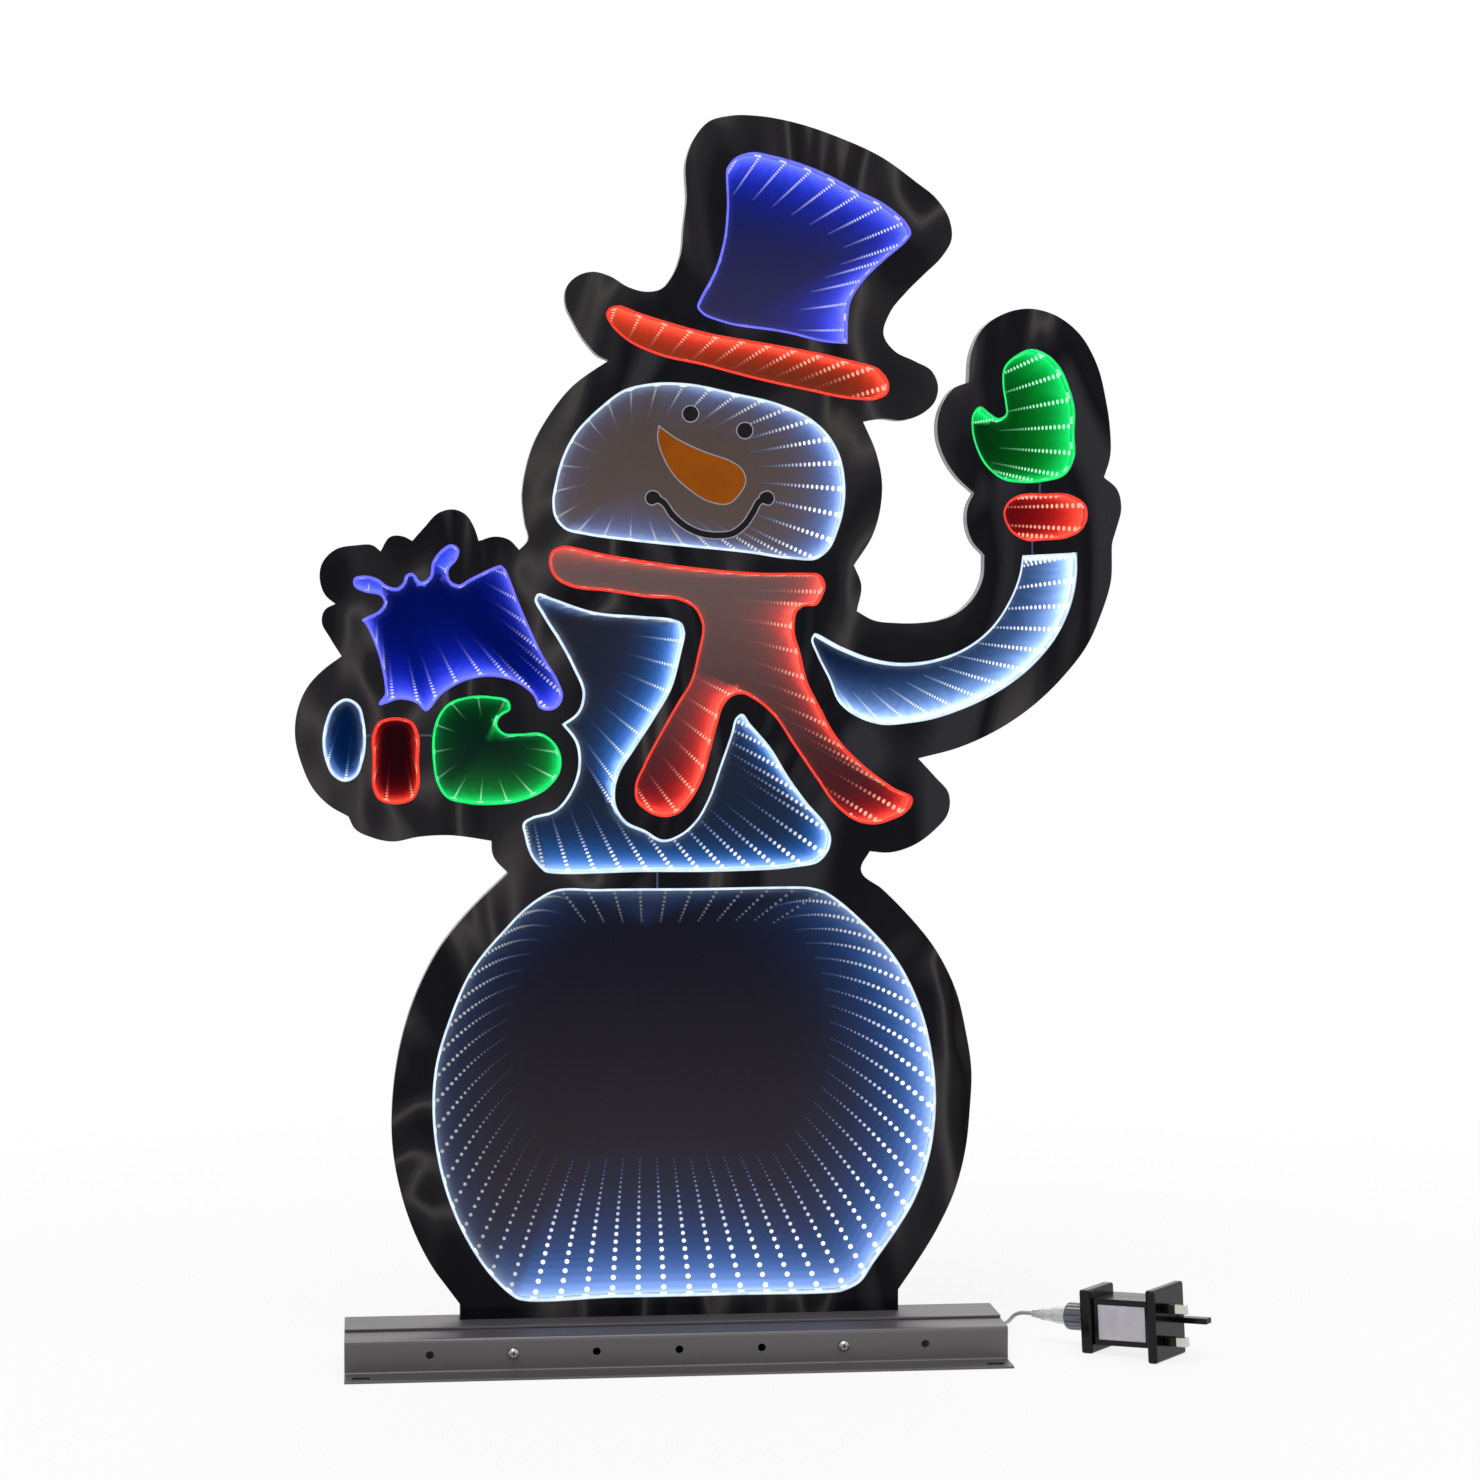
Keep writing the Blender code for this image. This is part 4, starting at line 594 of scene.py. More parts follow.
def add_object(name, data):
    """A new object of the scene."""
    obj = bpy.data.objects.new(name, data)
    bpy.context.scene.collection.objects.link(obj)
    return obj


def mesh_from(name, bm):
    """A mesh made of a bmesh, which is then freed."""
    mesh = bpy.data.meshes.new(name)
    bm.to_mesh(mesh)
    bm.free()
    return mesh


def add_piece(name, bm, materials, body, stands_for=(), smooth=None):
    """Makes a piece of a mesh, rides it on a body and hides the imported nodes that it stands for."""
    mesh = mesh_from(name, bm)
    obj = add_object(name, mesh)
    for material in materials:
        mesh.materials.append(material)
    if smooth is not None:
        mesh.shade_smooth()
        mesh.set_sharp_from_angle(angle=math.radians(smooth))
        for polygon in mesh.polygons:
            polygon.use_smooth = abs(polygon.normal.y) < FACES_FRONT
    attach(obj, body)
    if stands_for:
        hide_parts(*stands_for)
    return obj


def node_middle(name):
    """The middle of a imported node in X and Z."""
    low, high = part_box(name)
    return Vector(((low.x + high.x) / 2, (low.z + high.z) / 2))


def place_mm(x, z):
    """A panel point in millimetres as a point of the frame's X and Z."""
    return Vector((BASE_MIDDLE + (x * PANEL_STRETCH[0] + PANEL_SHIFT[0]) * MM,
                   (z * PANEL_STRETCH[1] + PANEL_SHIFT[1]) * MM))


def hermite(a, b, slope_a, slope_b, t):
    """A point between a and b on the cubic that leaves them along the given slopes."""
    t2 = t * t
    t3 = t2 * t
    return (a * (2 * t3 - 3 * t2 + 1) + slope_a * (t3 - 2 * t2 + t)
            + b * (3 * t2 - 2 * t3) + slope_b * (t3 - t2))


def unit_slope(before, here, after):
    """The direction of a smooth curve at a point between two neighbours."""
    back = here - before
    ahead = after - here
    slope = back / back.length ** 2 + ahead / ahead.length ** 2
    return slope.normalized()


def route_slopes(places):
    """The directions of a smooth open route at each of its points."""
    slopes = [places[1] - places[0]]
    slopes += [unit_slope(*three) for three in zip(places, places[1:], places[2:])]
    slopes.append(places[-1] - places[-2])
    return [slope.normalized() for slope in slopes]


def sides_of(loop):
    """Each item of a closed loop with the next one."""
    return zip(loop, loop[1:] + loop[:1])


def smooth_loop(points, step, extra=()):
    """A closed outline through panel points, smooth except at the sharp ones."""
    places = [place_mm(*p[:2]) for p in points] + list(extra)
    sharp = [len(p) == 3 for p in points] + [True] * len(extra)
    count = len(places)
    slopes = [unit_slope(places[i - 1], places[i], places[(i + 1) % count]) for i in range(count)]
    runs = [b - a for a, b in sides_of(places)]
    loop = []
    for i, run in enumerate(runs):
        j = (i + 1) % count
        leave = run.normalized() if sharp[i] else slopes[i]
        leave = leave * min(run.length, SLOPE_REACH * runs[i - 1].length)
        arrive = run.normalized() if sharp[j] else slopes[j]
        arrive = arrive * min(run.length, SLOPE_REACH * runs[j].length)
        parts = 1 if sharp[i] and sharp[j] else max(1, round(run.length / step))
        loop += [hermite(places[i], places[j], leave, arrive, k / parts) for k in range(parts)]
    if sum(a.x * b.y - b.x * a.y for a, b in sides_of(loop)) < 0:
        loop.reverse()
    return loop


def inset(loop, distance):
    """An anticlockwise loop moved inwards."""
    moved = []
    for i, here in enumerate(loop):
        back = (here - loop[i - 1]).normalized()
        ahead = (loop[(i + 1) % len(loop)] - here).normalized()
        left = Vector((-back.y - ahead.y, back.x + ahead.x))
        middle = left.normalized() if left.length > 0 else Vector((-ahead.y, ahead.x))
        moved.append(here + middle * distance / max(MITRE_LEAST, middle.dot(Vector((-ahead.y, ahead.x)))))
    return moved


def clear_inset(loop, distance):
    """A loop moved inwards, without the points that a sharp tip would fold over."""
    def room(point):
        least = distance
        for a, b in sides_of(loop):
            run = b - a
            t = min(1.0, max(0.0, (point - a).dot(run) / run.length_squared))
            least = min(least, (point - a - run * t).length)
        return least
    return [p for p in inset(loop, distance) if is_inside(p, loop) and room(p) > CLEAR_SHARE * distance]


def turns_of(sides):
    """Even angles round a full turn."""
    return [2 * math.pi * k / sides for k in range(sides)]


def circle(centre, radius, sides):
    """A round loop about a point of X and Z."""
    return [centre + Vector((math.cos(turn), math.sin(turn))) * radius for turn in turns_of(sides)]


def is_inside(point, loop):
    """Whether a point lies inside a loop."""
    inside = False
    for a, b in sides_of(loop):
        if (a.y > point.y) != (b.y > point.y):
            if point.x < a.x + (point.y - a.y) * (b.x - a.x) / (b.y - a.y):
                inside = not inside
    return inside


def flat_box(loop):
    """The lowest and highest corner of a loop."""
    return (Vector((min(p.x for p in loop), min(p.y for p in loop))),
            Vector((max(p.x for p in loop), max(p.y for p in loop))))


def region_of(point, loops, boxes):
    """The number of the loop that holds a point, or None."""
    for index, (loop, (low, high)) in enumerate(zip(loops, boxes)):
        if low.x < point.x < high.x and low.y < point.y < high.y and is_inside(point, loop):
            return index
    return None


def triangles(outer, inner):
    """Triangles over an outline, each with the number of the inner loop it lies in, or None."""
    loops = [outer] + inner
    places = [p for loop in loops for p in loop]
    sides = []
    for loop in loops:
        first = len(sides)
        sides += [(first + i, first + (i + 1) % len(loop)) for i in range(len(loop))]
    verts, _, faces, *_ = delaunay_2d_cdt(places, sides, [], INSIDE_ONLY, SHEET_MERGE)
    assert len(verts) == len(places)
    boxes = [flat_box(loop) for loop in inner]
    middles = [(verts[i] + verts[j] + verts[k]) / 3 for i, j, k in faces]
    return [(face, region_of(middle, inner, boxes)) for face, middle in zip(faces, middles)]


def ring_of(bm, loop, y):
    """Corners along a loop of X and Z, at one depth."""
    return [bm.verts.new((p.x, y, p.y)) for p in loop]


def join_rings(bm, ring_a, ring_b, material=0):
    """A band of faces between two rings of corners."""
    for (a, b), (c, d) in zip(sides_of(ring_a), sides_of(ring_b)):
        bm.faces.new((a, b, d, c)).material_index = material


def face_outward(bm):
    """Turns all faces to the outside."""
    bmesh.ops.recalc_face_normals(bm, faces=bm.faces)


def slab(outer, holes, panes, front, back, edge=0.0):
    """A flat sheet along Y with rounded outer edges, through holes, and panes with the second material."""
    bm = bmesh.new()
    drawn_in = inset(outer, edge) if edge else outer
    cover = triangles(drawn_in, holes + panes)
    ends = []
    for y in (front, back):
        rings = [ring_of(bm, loop, y) for loop in [drawn_in] + holes + panes]
        corners = [v for one in rings for v in one]
        for face, region in cover:
            if region is None or region >= len(holes):
                bm.faces.new([corners[i] for i in face]).material_index = int(region is not None)
        ends.append(rings)
    levels = [ends[0][0], ends[1][0]]
    if edge:
        part = edge * EDGE_SHARE
        between = inset(outer, part)
        steps = ((between, front + part), (outer, front + edge),
                 (outer, back - edge), (between, back - part))
        levels[1:1] = [ring_of(bm, loop, y) for loop, y in steps]
    for a, b in zip(levels, levels[1:]):
        join_rings(bm, a, b)
    for k in range(len(holes)):
        join_rings(bm, ends[0][k + 1], ends[1][k + 1])
    face_outward(bm)
    return bm


def build_panel(outline, windows, clamp_holes):
    """The front sheet with its see-through windows, the routed core and the rear sheet."""
    # The smoked sheet's dark tint carries painted reflections: streaks of sheen from a noise field
    frame_tint_and_sheen, tree, shader = new_material("smoked frame with painted sheen", srgb(20, 20, 24), 0.1, Specular_IOR_Level=0.05)
    stops = [(place, srgb(*colour)) for place, colour in PAINTED_SHEEN]
    set_sockets(shader, {
        "Base Color": bands(tree, noise(tree, 9.0, 2.0, (1, 1, 0.4), 1.5), stops),
        "Roughness": spread(tree, noise(tree, 45, 4.0), 0.06, 0.14),
        "Normal": bump(tree, noise(tree, 9, 1.0), 0.0008, 0.3),
    })
    pane, tree, shader = new_material("smoked window", srgb(4, 4, 6), 0.05, Alpha=0.05,
                                      Specular_IOR_Level=0.12)
    set_sockets(shader, {"Roughness": spread(tree, noise(tree, 45, 4.0), 0.03, 0.08)})
    core = grained("routed core board", (148, 148, 150), (176, 176, 178), 0.55, 900, 0.00012)
    rear = grained("rear sheet", (26, 26, 28), (40, 40, 43), 0.32, 700, 0.00005)

    panes = windows + leak_slots(windows)
    front_slab = slab(outline, clamp_holes, panes, FRONT_LOW.y, FRONT_HIGH.y, SHEET_EDGE)
    add_piece("front_sheet", front_slab, [frame_tint_and_sheen, pane], STAND, ["front_mirror"],
              PANEL_ANGLE)
    core_slab = slab(outline, clamp_holes + windows, [], CORE_LOW.y, CORE_HIGH.y)
    cut_grooves(add_piece("core_board", core_slab, [core], STAND, ["spacer_core"]))
    rear_slab = slab(outline, clamp_holes, [], REAR_LOW.y, REAR_HIGH.y, SHEET_EDGE)
    add_piece("rear_sheet", rear_slab, [rear], STAND, ["rear_mirror"], PANEL_ANGLE)


def runs_up(low, high):
    """Whether a wire's box is taller than it is wide."""
    return high.z - low.z > high.x - low.x


def leak_slots(windows):
    """Where light shows through the front sheet over a jumper's groove, inside the wall it crosses."""
    slots = []
    for name in LEAKS:
        low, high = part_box(name)
        middle = node_middle(name)
        way = Vector((0, 1)) if runs_up(low, high) else Vector((1, 0))
        across = Vector((way.y, way.x)) * LEAK_HALF
        reach = [room_in_wall(middle, way * sign, across, windows) for sign in (-1, 1)]
        a = middle - way * reach[0] - across
        b = middle + way * reach[1] + across
        slots.append([a, Vector((b.x, a.y)), b, Vector((a.x, b.y))])
    return slots


def room_in_wall(middle, way, across, windows):
    """How far a slot may run from the middle of a wall before it would meet a window."""
    reach = LEAK_STEP
    while reach < LEAK_MOST:
        ends = [middle + way * (reach + 2 * LEAK_STEP) + across * side for side in (-1, 0, 1)]
        if any(is_inside(p, loop) for p in ends for loop in windows):
            break
        reach += LEAK_STEP
    return reach


def cut_grooves(core_piece):
    """Takes the wires' grooves out of the core."""
    bm = bmesh.new()
    spans = []
    for low, high in map(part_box, JUMPERS):
        grow = Vector((GROOVE_OVER, 0, GROOVE_REAM))
        if runs_up(low, high):
            grow = Vector((GROOVE_REAM, 0, GROOVE_OVER))
        spans.append((Vector((low.x, CORE_LOW.y - GROOVE_OVER, low.z)) - grow,
                      Vector((high.x, high.y + GROOVE_REAM, high.z)) + grow))
    low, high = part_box("feed_wire")
    spans.append((low - Vector((GROOVE_REAM, GROOVE_REAM, GROOVE_REAM)),
                  Vector((high.x + GROOVE_REAM, CORE_HIGH.y + GROOVE_OVER, high.z + GROOVE_OVER))))
    for low, high in spans:
        made = bmesh.ops.create_cube(bm, size=1.0)
        for vert in made["verts"]:
            vert.co = Vector([(a + b) / 2 + c * (b - a) for a, b, c in zip(low, high, vert.co)])
    cutter = add_object("groove cutter", mesh_from("groove cutter", bm))
    removal = core_piece.modifiers.new("grooves", "BOOLEAN")
    removal.operation = "DIFFERENCE"
    removal.solver = "EXACT"
    removal.object = cutter
    bpy.context.view_layer.update()
    shaped = core_piece.evaluated_get(bpy.context.evaluated_depsgraph_get())
    result = bpy.data.meshes.new_from_object(shaped)
    core_piece.modifiers.clear()
    core_piece.data = result
    bpy.data.objects.remove(cutter)


def along_loop(loop, pitch):
    """Points at an even pitch along a loop, each with the direction into the loop."""
    lengths = [(b - a).length for a, b in sides_of(loop)]
    total = sum(lengths)
    count = max(FEWEST_LEDS, round(total / pitch))
    places = []
    i = 0
    walked = 0.0
    for k in range(count):
        target = (k + 0.5) * total / count
        while walked + lengths[i] < target:
            walked += lengths[i]
            i += 1
        a = loop[i]
        b = loop[(i + 1) % len(loop)]
        way = (b - a).normalized()
        places.append((a + way * (target - walked), Vector((-way.y, way.x))))
    return places


def build_strip(name, loop, lit):
    """The flexible strip that lines a window, with its light packages and its bright front edge."""
    bm = bmesh.new()
    outer, inner = (inset(loop, distance) for distance in STRIP_INSETS)
    corners = ((outer, STRIP_LOW.y), (inner, STRIP_LOW.y), (inner, STRIP_HIGH.y), (outer, STRIP_HIGH.y))
    for a, b in sides_of([ring_of(bm, ring, y) for ring, y in corners]):
        join_rings(bm, a, b)
    middle_y = (STRIP_LOW.y + STRIP_HIGH.y) / 2
    for place, into in along_loop(inner, LED_PITCH):
        add_package(bm, place, into, middle_y)
    add_edge_line(bm, inset(loop, LINE_INSET))
    face_outward(bm)
    add_piece("strip_" + name, bm, [STRIP_FINISH[lit], PACKAGE_FINISH[lit], LINE_FINISH[lit]], STAND,
              ["led_strip_" + name])


def add_package(bm, place, into, y):
    """One small light package standing on a strip, with a chamfered top."""
    along = Vector((into.y, -into.x))
    rings = []
    for rise, share in ((0.0, 1.0), (PACKAGE_SHOULDER * PACKAGE_RISE, 1.0), (PACKAGE_RISE, PACKAGE_TOP)):
        half = PACKAGE_HALF * share
        ring = []
        for s, t in ((-1, -1), (1, -1), (1, 1), (-1, 1)):
            p = place + into * rise + along * half * s
            ring.append(bm.verts.new((p.x, y + half * t, p.y)))
        rings.append(ring)
    for end in (rings[0], rings[-1]):
        bm.faces.new(end).material_index = PACKAGE_SLOT
    for a, b in zip(rings, rings[1:]):
        join_rings(bm, a, b, PACKAGE_SLOT)


def add_edge_line(bm, loop):
    """A thin bright bead along the strip's front edge, just behind the front sheet."""
    y = FRONT_HIGH.y + LINE_BEHIND
    rings = []
    for i, here in enumerate(loop):
        way = (loop[(i + 1) % len(loop)] - loop[i - 1]).normalized()
        side = Vector((-way.y, way.x)) * LINE_RADIUS
        ring = []
        for turn in turns_of(LINE_SIDES):
            p = here + side * math.cos(turn)
            ring.append(bm.verts.new((p.x, y + LINE_RADIUS * math.sin(turn), p.y)))
        rings.append(ring)
    for a, b in sides_of(rings):
        join_rings(bm, a, b, LINE_SLOT)


def camera_way():
    """The direction that the photo's camera looks in."""
    level = math.cos(CAMERA_PITCH)
    across = math.sin(CAMERA_AZIMUTH) * level
    return Vector((-across, math.cos(CAMERA_AZIMUTH) * level, -math.sin(CAMERA_PITCH)))


def shown_at(x_px, y_px):
    """The point of the panel's front, as X and Z, that the photo shows at a pixel."""
    way = camera_way()
    right = way.cross(Vector((0, 0, 1))).normalized()
    up = right.cross(way)
    ray = way + right * ((x_px - IMAGE_PX / 2) / FOCAL_PX) + up * ((IMAGE_PX / 2 - y_px) / FOCAL_PX)
    spot = CAMERA_PLACE + ray * ((FRONT_LOW.y - CAMERA_PLACE.y) / ray.y)
    return Vector((spot.x, spot.z))


def far_share(name, outward):
    """How much of its light a window shows at an edge that faces a direction."""
    if name not in FAR_SIDE:
        return 1.0
    way, least = FAR_SIDE[name]
    turn = (outward.dot(Vector(way)) - FAR_TURN[0]) / (FAR_TURN[1] - FAR_TURN[0])
    return least + (1 - least) * min(1.0, max(0.0, turn))


def painted_ambient_reflection(name, rise):
    """The painted ambient reflection that a window glows with where no strip light shows, at a share of its
    height.
    """
    top, bottom = (Vector(srgb(*colour)) for colour in ROWS[name][-2:])
    return bottom.lerp(top, rise * rise * (3 - 2 * rise))


def build_rows(name, loop, lit):
    """The rows of reflected lights that run into a window, painted as small glowing flat domes near the rear
    mirror.
    """
    bm = bmesh.new()
    colours = bm.verts.layers.float_color.new(LIGHT_LAYER)
    pixel, first_step, fade_over, *_ = ROWS[name]
    target = shown_at(*pixel)
    bend = shown_at(*BENDS_TO.get(name, pixel))
    inner = inset(loop, ROW_INSET)
    low, high = flat_box(inner)
    deep = CORE_HIGH.y - ROW_DEEP
    shallow = STRIP_LOW.y + ROW_SHALLOW
    for place, into in along_loop(inner, LED_PITCH):
        turned = abs(target.y - place.y) < TURN_BACK and bend != target
        first_aim = bend if turned else target
        step = first_step * (TURNED_STEP if turned else 1.0)
        way = first_aim - place
        side = ROW_LEAST + (1 - ROW_LEAST) * far_share(name, -into)
        if turned:
            side *= TURNED_SHINE
        for k in range(1, (TURNED_IMAGES if turned else IMAGES) + 1):
            walked = step * (k - FIRST_IMAGE)
            share = walked / (1 + walked)
            aim = first_aim.lerp(bend, min(1.0, share / BEND_SHARE))
            spot = place + (aim - place) * share
            if not is_inside(spot, inner):
                continue
            shine = math.exp(-k / fade_over)
            colour = LIGHT[lit]["near"].lerp(LIGHT[lit]["bead"], min(1.0, BEAD_PALE * shine))
            colour = colour * min(1.0, BEAD_DIM + BEAD_SHINE * shine) * side
            behind = painted_ambient_reflection(name, (spot.y - low.y) / (high.y - low.y))
            colour = Vector((*map(max, colour, behind), 1.0))
            gap = max(MM, way.length * step / (1 + walked) ** 2)
            lit_share = BEAD_EVEN + (1 - BEAD_EVEN) * side
            widest = max(BEAD_SMALLEST, (BEAD_WIDEST - BEAD_SHRINKS * k) * lit_share)
            half_across = min(widest, BEAD_ACROSS * gap)
            half_along = min(half_across, BEAD_ALONG * gap)
            y = shallow + (deep - shallow) * min(1.0, k / DEEP_AFTER)
            add_bead(bm, colours, colour, spot, way.normalized(), half_along, half_across, y)
    face_outward(bm)
    add_piece("rows_" + name, bm, [ROW_FINISH], STAND)


def add_bead(bm, colours, colour, spot, along, half_along, half_across, y):
    """One reflected light: a small oval dome with its flat side to the rear."""
    across = Vector((-along.y, along.x)) * half_across
    along = along * half_along
    turns = turns_of(BEAD_SIDES)
    rings = []
    for share, rise in ((1.0, 0.0), (BEAD_CROWN, BEAD_RISE * half_along)):
        oval = [spot + (along * math.cos(turn) + across * math.sin(turn)) * share for turn in turns]
        rings.append(ring_of(bm, oval, y - rise))
    rim, crown = rings
    for vert in rim + crown:
        vert[colours] = colour
    bm.faces.new(crown)
    bm.faces.new(rim[::-1])
    join_rings(bm, rim, crown)


def ray_out(point, target, loop):
    """Where the line from the target through a point leaves the loop, and which way that edge faces."""
    way = (point - target).normalized()
    best = 0.0
    faces = way
    for a, b in sides_of(loop):
        run = b - a
        cross = way.x * run.y - way.y * run.x
        if abs(cross) < PARALLEL:
            continue
        gap = a - point
        t = (gap.x * run.y - gap.y * run.x) / cross
        u = (gap.x * way.y - gap.y * way.x) / cross
        if t >= 0 and 0 <= u <= 1 and (faces is way or t < best):
            best = t
            side = Vector((run.y, -run.x)).normalized()
            faces = side if side.dot(way) > 0 else -side
    return point + way * best, faces


def grid_over(loop, margin_loop):
    """Points of an even triangular grid inside a loop's margin."""
    low, high = flat_box(loop)
    places = []
    row = 0
    z = low.y
    while z < high.y:
        x = low.x + (row % 2) * GRID_STEP / 2
        while x < high.x:
            point = Vector((x, z))
            if is_inside(point, margin_loop):
                places.append(point)
            x += GRID_STEP
        z += GRID_STEP * GRID_RISE
        row += 1
    return places


def build_glow(name, loop, lit):
    """The rear mirror seen in a window, as a glowing sheet of painted reflection: bright along the far edges and
    dark where the rows run to.
    """
    pixel, first_step, _, reach_mm, strength, *_ = ROWS[name]
    target = shown_at(*pixel).lerp(shown_at(*BENDS_TO.get(name, pixel)), 0.5)
    edge, rim, margin = (inset(loop, distance) for distance in GLOW_INSETS)
    low, high = flat_box(edge)
    places = edge + [p for p in rim if is_inside(p, edge)] + grid_over(edge, margin)
    sides = list(sides_of(list(range(len(edge)))))
    verts, _, faces, *_ = delaunay_2d_cdt(places, sides, [], INSIDE_ONLY, GLOW_MERGE)
    near, brink, line = (LIGHT[lit][kind] for kind in ("near", "edge", "line"))
    if name in PALE_NEAR:
        near = Vector(srgb(*PALE_NEAR[name]))
    reach = reach_mm * MM
    bm = bmesh.new()
    colours = bm.verts.layers.float_color.new(LIGHT_LAYER)
    corners = ring_of(bm, verts, CORE_HIGH.y - GLOW_BEHIND)
    for point, vert in zip(verts, corners):
        source, outward = ray_out(point, target, edge)
        depth = (source - point).length
        share = depth / max(TINY, (source - target).length)
        k = share / (first_step * max(TINY, 1 - share))
        band = 1 - BAND + BAND * math.cos(2 * math.pi * k)
        halo = math.exp(-min((point - p).length for p in edge) / HALO_REACH)
        wash = near * math.exp(-depth / reach) + brink * EDGE_LIGHT * math.exp(-depth / (EDGE_REACH * reach))
        wash *= strength * band * far_share(name, outward)
        far = painted_ambient_reflection(name, (point.y - low.y) / (high.y - low.y))
        vert[colours] = Vector((*(far + wash + line * HALO_LIGHT * halo), 1.0))
    for face in faces:
        bm.faces.new([corners[i] for i in face])
    face_outward(bm)
    made = bmesh.ops.extrude_face_region(bm, geom=bm.faces[:])
    for vert in [v for v in made["geom"] if isinstance(v, bmesh.types.BMVert)]:
        vert.co.y += GLOW_THICK
    face_outward(bm)
    add_piece("glow_" + name, bm, [GLOW_FINISH], STAND)


def mouth_loop():
    """The outline of a smile: a stroke along its curve with a round dot at each end."""
    places = [place_mm(*p) for p in MOUTH]
    slopes = route_slopes(places)
    line = []
    for step in range((len(places) - 1) * MOUTH_PARTS + 1):
        i = min(step // MOUTH_PARTS, len(places) - 2)
        t = step / MOUTH_PARTS - i
        length = (places[i + 1] - places[i]).length
        here = hermite(places[i], places[i + 1], slopes[i] * length, slopes[i + 1] * length, t)
        line.append((here, slopes[i].lerp(slopes[i + 1], t).normalized()))
    upper = []
    lower = []
    for here, way in line:
        from_end = min((here - line[0][0]).length, (here - line[-1][0]).length)
        half = max(MOUTH_HALF, math.sqrt(max(0.0, MOUTH_END ** 2 - from_end ** 2)))
        side = Vector((-way.y, way.x)) * half
        upper.append(here + side)
        lower.append(here - side)
    turns = [math.pi * k / CAP_PARTS for k in range(1, CAP_PARTS)]
    caps = []
    for here, way in (line[-1], (line[0][0], -line[0][1])):
        across = Vector((way.y, -way.x))
        caps.append([here + (across * math.cos(turn) + way * math.sin(turn)) * MOUTH_END for turn in turns])
    return lower + caps[0] + upper[::-1] + caps[1]


def build_trim():
    """The face on the front sheet: two eyes, a nose and a smile, each with a thin pale outline that glows with
    painted light.
    """
    # The outlines are pale and glow: painted light that stands for the strips' light showing round the shapes
    pale, tree, shader = new_material("pale outline", srgb(120, 118, 130), 0.4, Emission_Strength=0.2)
    shine = ramp(tree, noise(tree, 260, 2.0), srgb(150, 146, 170), srgb(205, 205, 222))
    set_sockets(shader, {"Emission Color": shine})
    black = grained("black trim", (4, 4, 6), (12, 12, 15), 0.3, 500, 0.00002, Specular_IOR_Level=0.15)
    orange = grained("orange trim", (138, 68, 2), (156, 80, 4), 0.36, 420, 0.00002, Specular_IOR_Level=0.1)
    shapes = {"nose": (smooth_loop(NOSE, NOSE_STEP), orange, "orange_trim"),
              "mouth": (mouth_loop(), black, "black_trim")}
    for name in EYES:
        low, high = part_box(name)
        shapes[name] = (circle(node_middle(name), (high.x - low.x) / 2, EYE_SIDES), black, "black_trim")
    for name, (loop, fill, slot) in shapes.items():
        bm = slab(loop, [], [clear_inset(loop, PALE_WIDTH)], TRIM_LOW.y, TRIM_HIGH.y)
        add_piece("trim_" + name, bm, [pale, fill], STAND, [name], TRIM_ANGLE)


def main_lights():
    """Soft studio light from above on both sides."""
    for name, place, size, power in LAMPS:
        data = bpy.data.lights.new(name, "AREA")
        data.size = size
        data.energy = power
        lamp = add_object(name, data)
        lamp.location = place
        lamp.rotation_euler = (LAMP_AIM - Vector(place)).to_track_quat("-Z", "Y").to_euler()


def seen_white(tree):
    """1 for rays that show the background: from the camera, from gloss and through glass."""
    path = add_node(tree, "LightPath").outputs
    first = maths(tree, "MAXIMUM", path["Is Camera Ray"], path["Is Glossy Ray"])
    return maths(tree, "MAXIMUM", first, path["Is Transmission Ray"])


def floor_white(tree):
    """How white the floor shows: nothing in the dark under the base, and all far from the object."""
    inward = Vector((UNDER_BASE, UNDER_BASE, 0))
    low = BASE_LOW + inward
    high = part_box("base_rear_rail")[1] - inward
    under = in_box(tree, Vector((low.x, low.y, -1)), Vector((high.x, high.y, 1)))
    away = tree.nodes.new("ShaderNodeVectorMath")
    away.operation = "LENGTH"
    tree.links.new(add_node(tree, "TexCoord").outputs["Object"], away.inputs[0])
    total = add_node(tree, "MapRange", Value=away.outputs["Value"], From_Min=FLOOR_FADE[0],
                     From_Max=FLOOR_FADE[1], To_Min=FLOOR_NEAR, To_Max=FLOOR_FAR)
    total.interpolation_type = "SMOOTHSTEP"
    return maths(tree, "MULTIPLY", maths(tree, "SUBTRACT", 1.0, under), total.outputs["Result"])


def build_studio():
    """White surroundings and a plain pale floor that keeps the shadow."""
    world = bpy.data.worlds.new("studio")
    bpy.context.scene.world = world
    world.use_nodes = True
    tree = world.node_tree
    strength = add_node(tree, "MapRange", Value=seen_white(tree), To_Min=WORLD_LIGHT, To_Max=1.0)
    set_sockets(tree.nodes["Background"], {"Color": (1, 1, 1, 1), "Strength": strength.outputs["Result"]})

    bm = bmesh.new()
    bmesh.ops.create_circle(bm, cap_ends=True, radius=FLOOR_RADIUS, segments=FLOOR_SIDES)
    mesh = mesh_from("floor", bm)
    floor = add_object("floor", mesh)
    material = bpy.data.materials.new("pale floor")
    material.use_nodes = True
    tree = material.node_tree
    tree.nodes.clear()
    paint = add_node(tree, "BsdfDiffuse", Color=(FLOOR_PAINT, FLOOR_PAINT, FLOOR_PAINT, 1))
    glow = add_node(tree, "Emission")
    mix = tree.nodes.new("ShaderNodeMixShader")
    share = maths(tree, "MULTIPLY", seen_white(tree), floor_white(tree))
    for source, socket in zip((share, paint.outputs[0], glow.outputs[0]), mix.inputs):
        tree.links.new(source, socket)
    add_node(tree, "OutputMaterial", Surface=mix.outputs[0])
    mesh.materials.append(material)


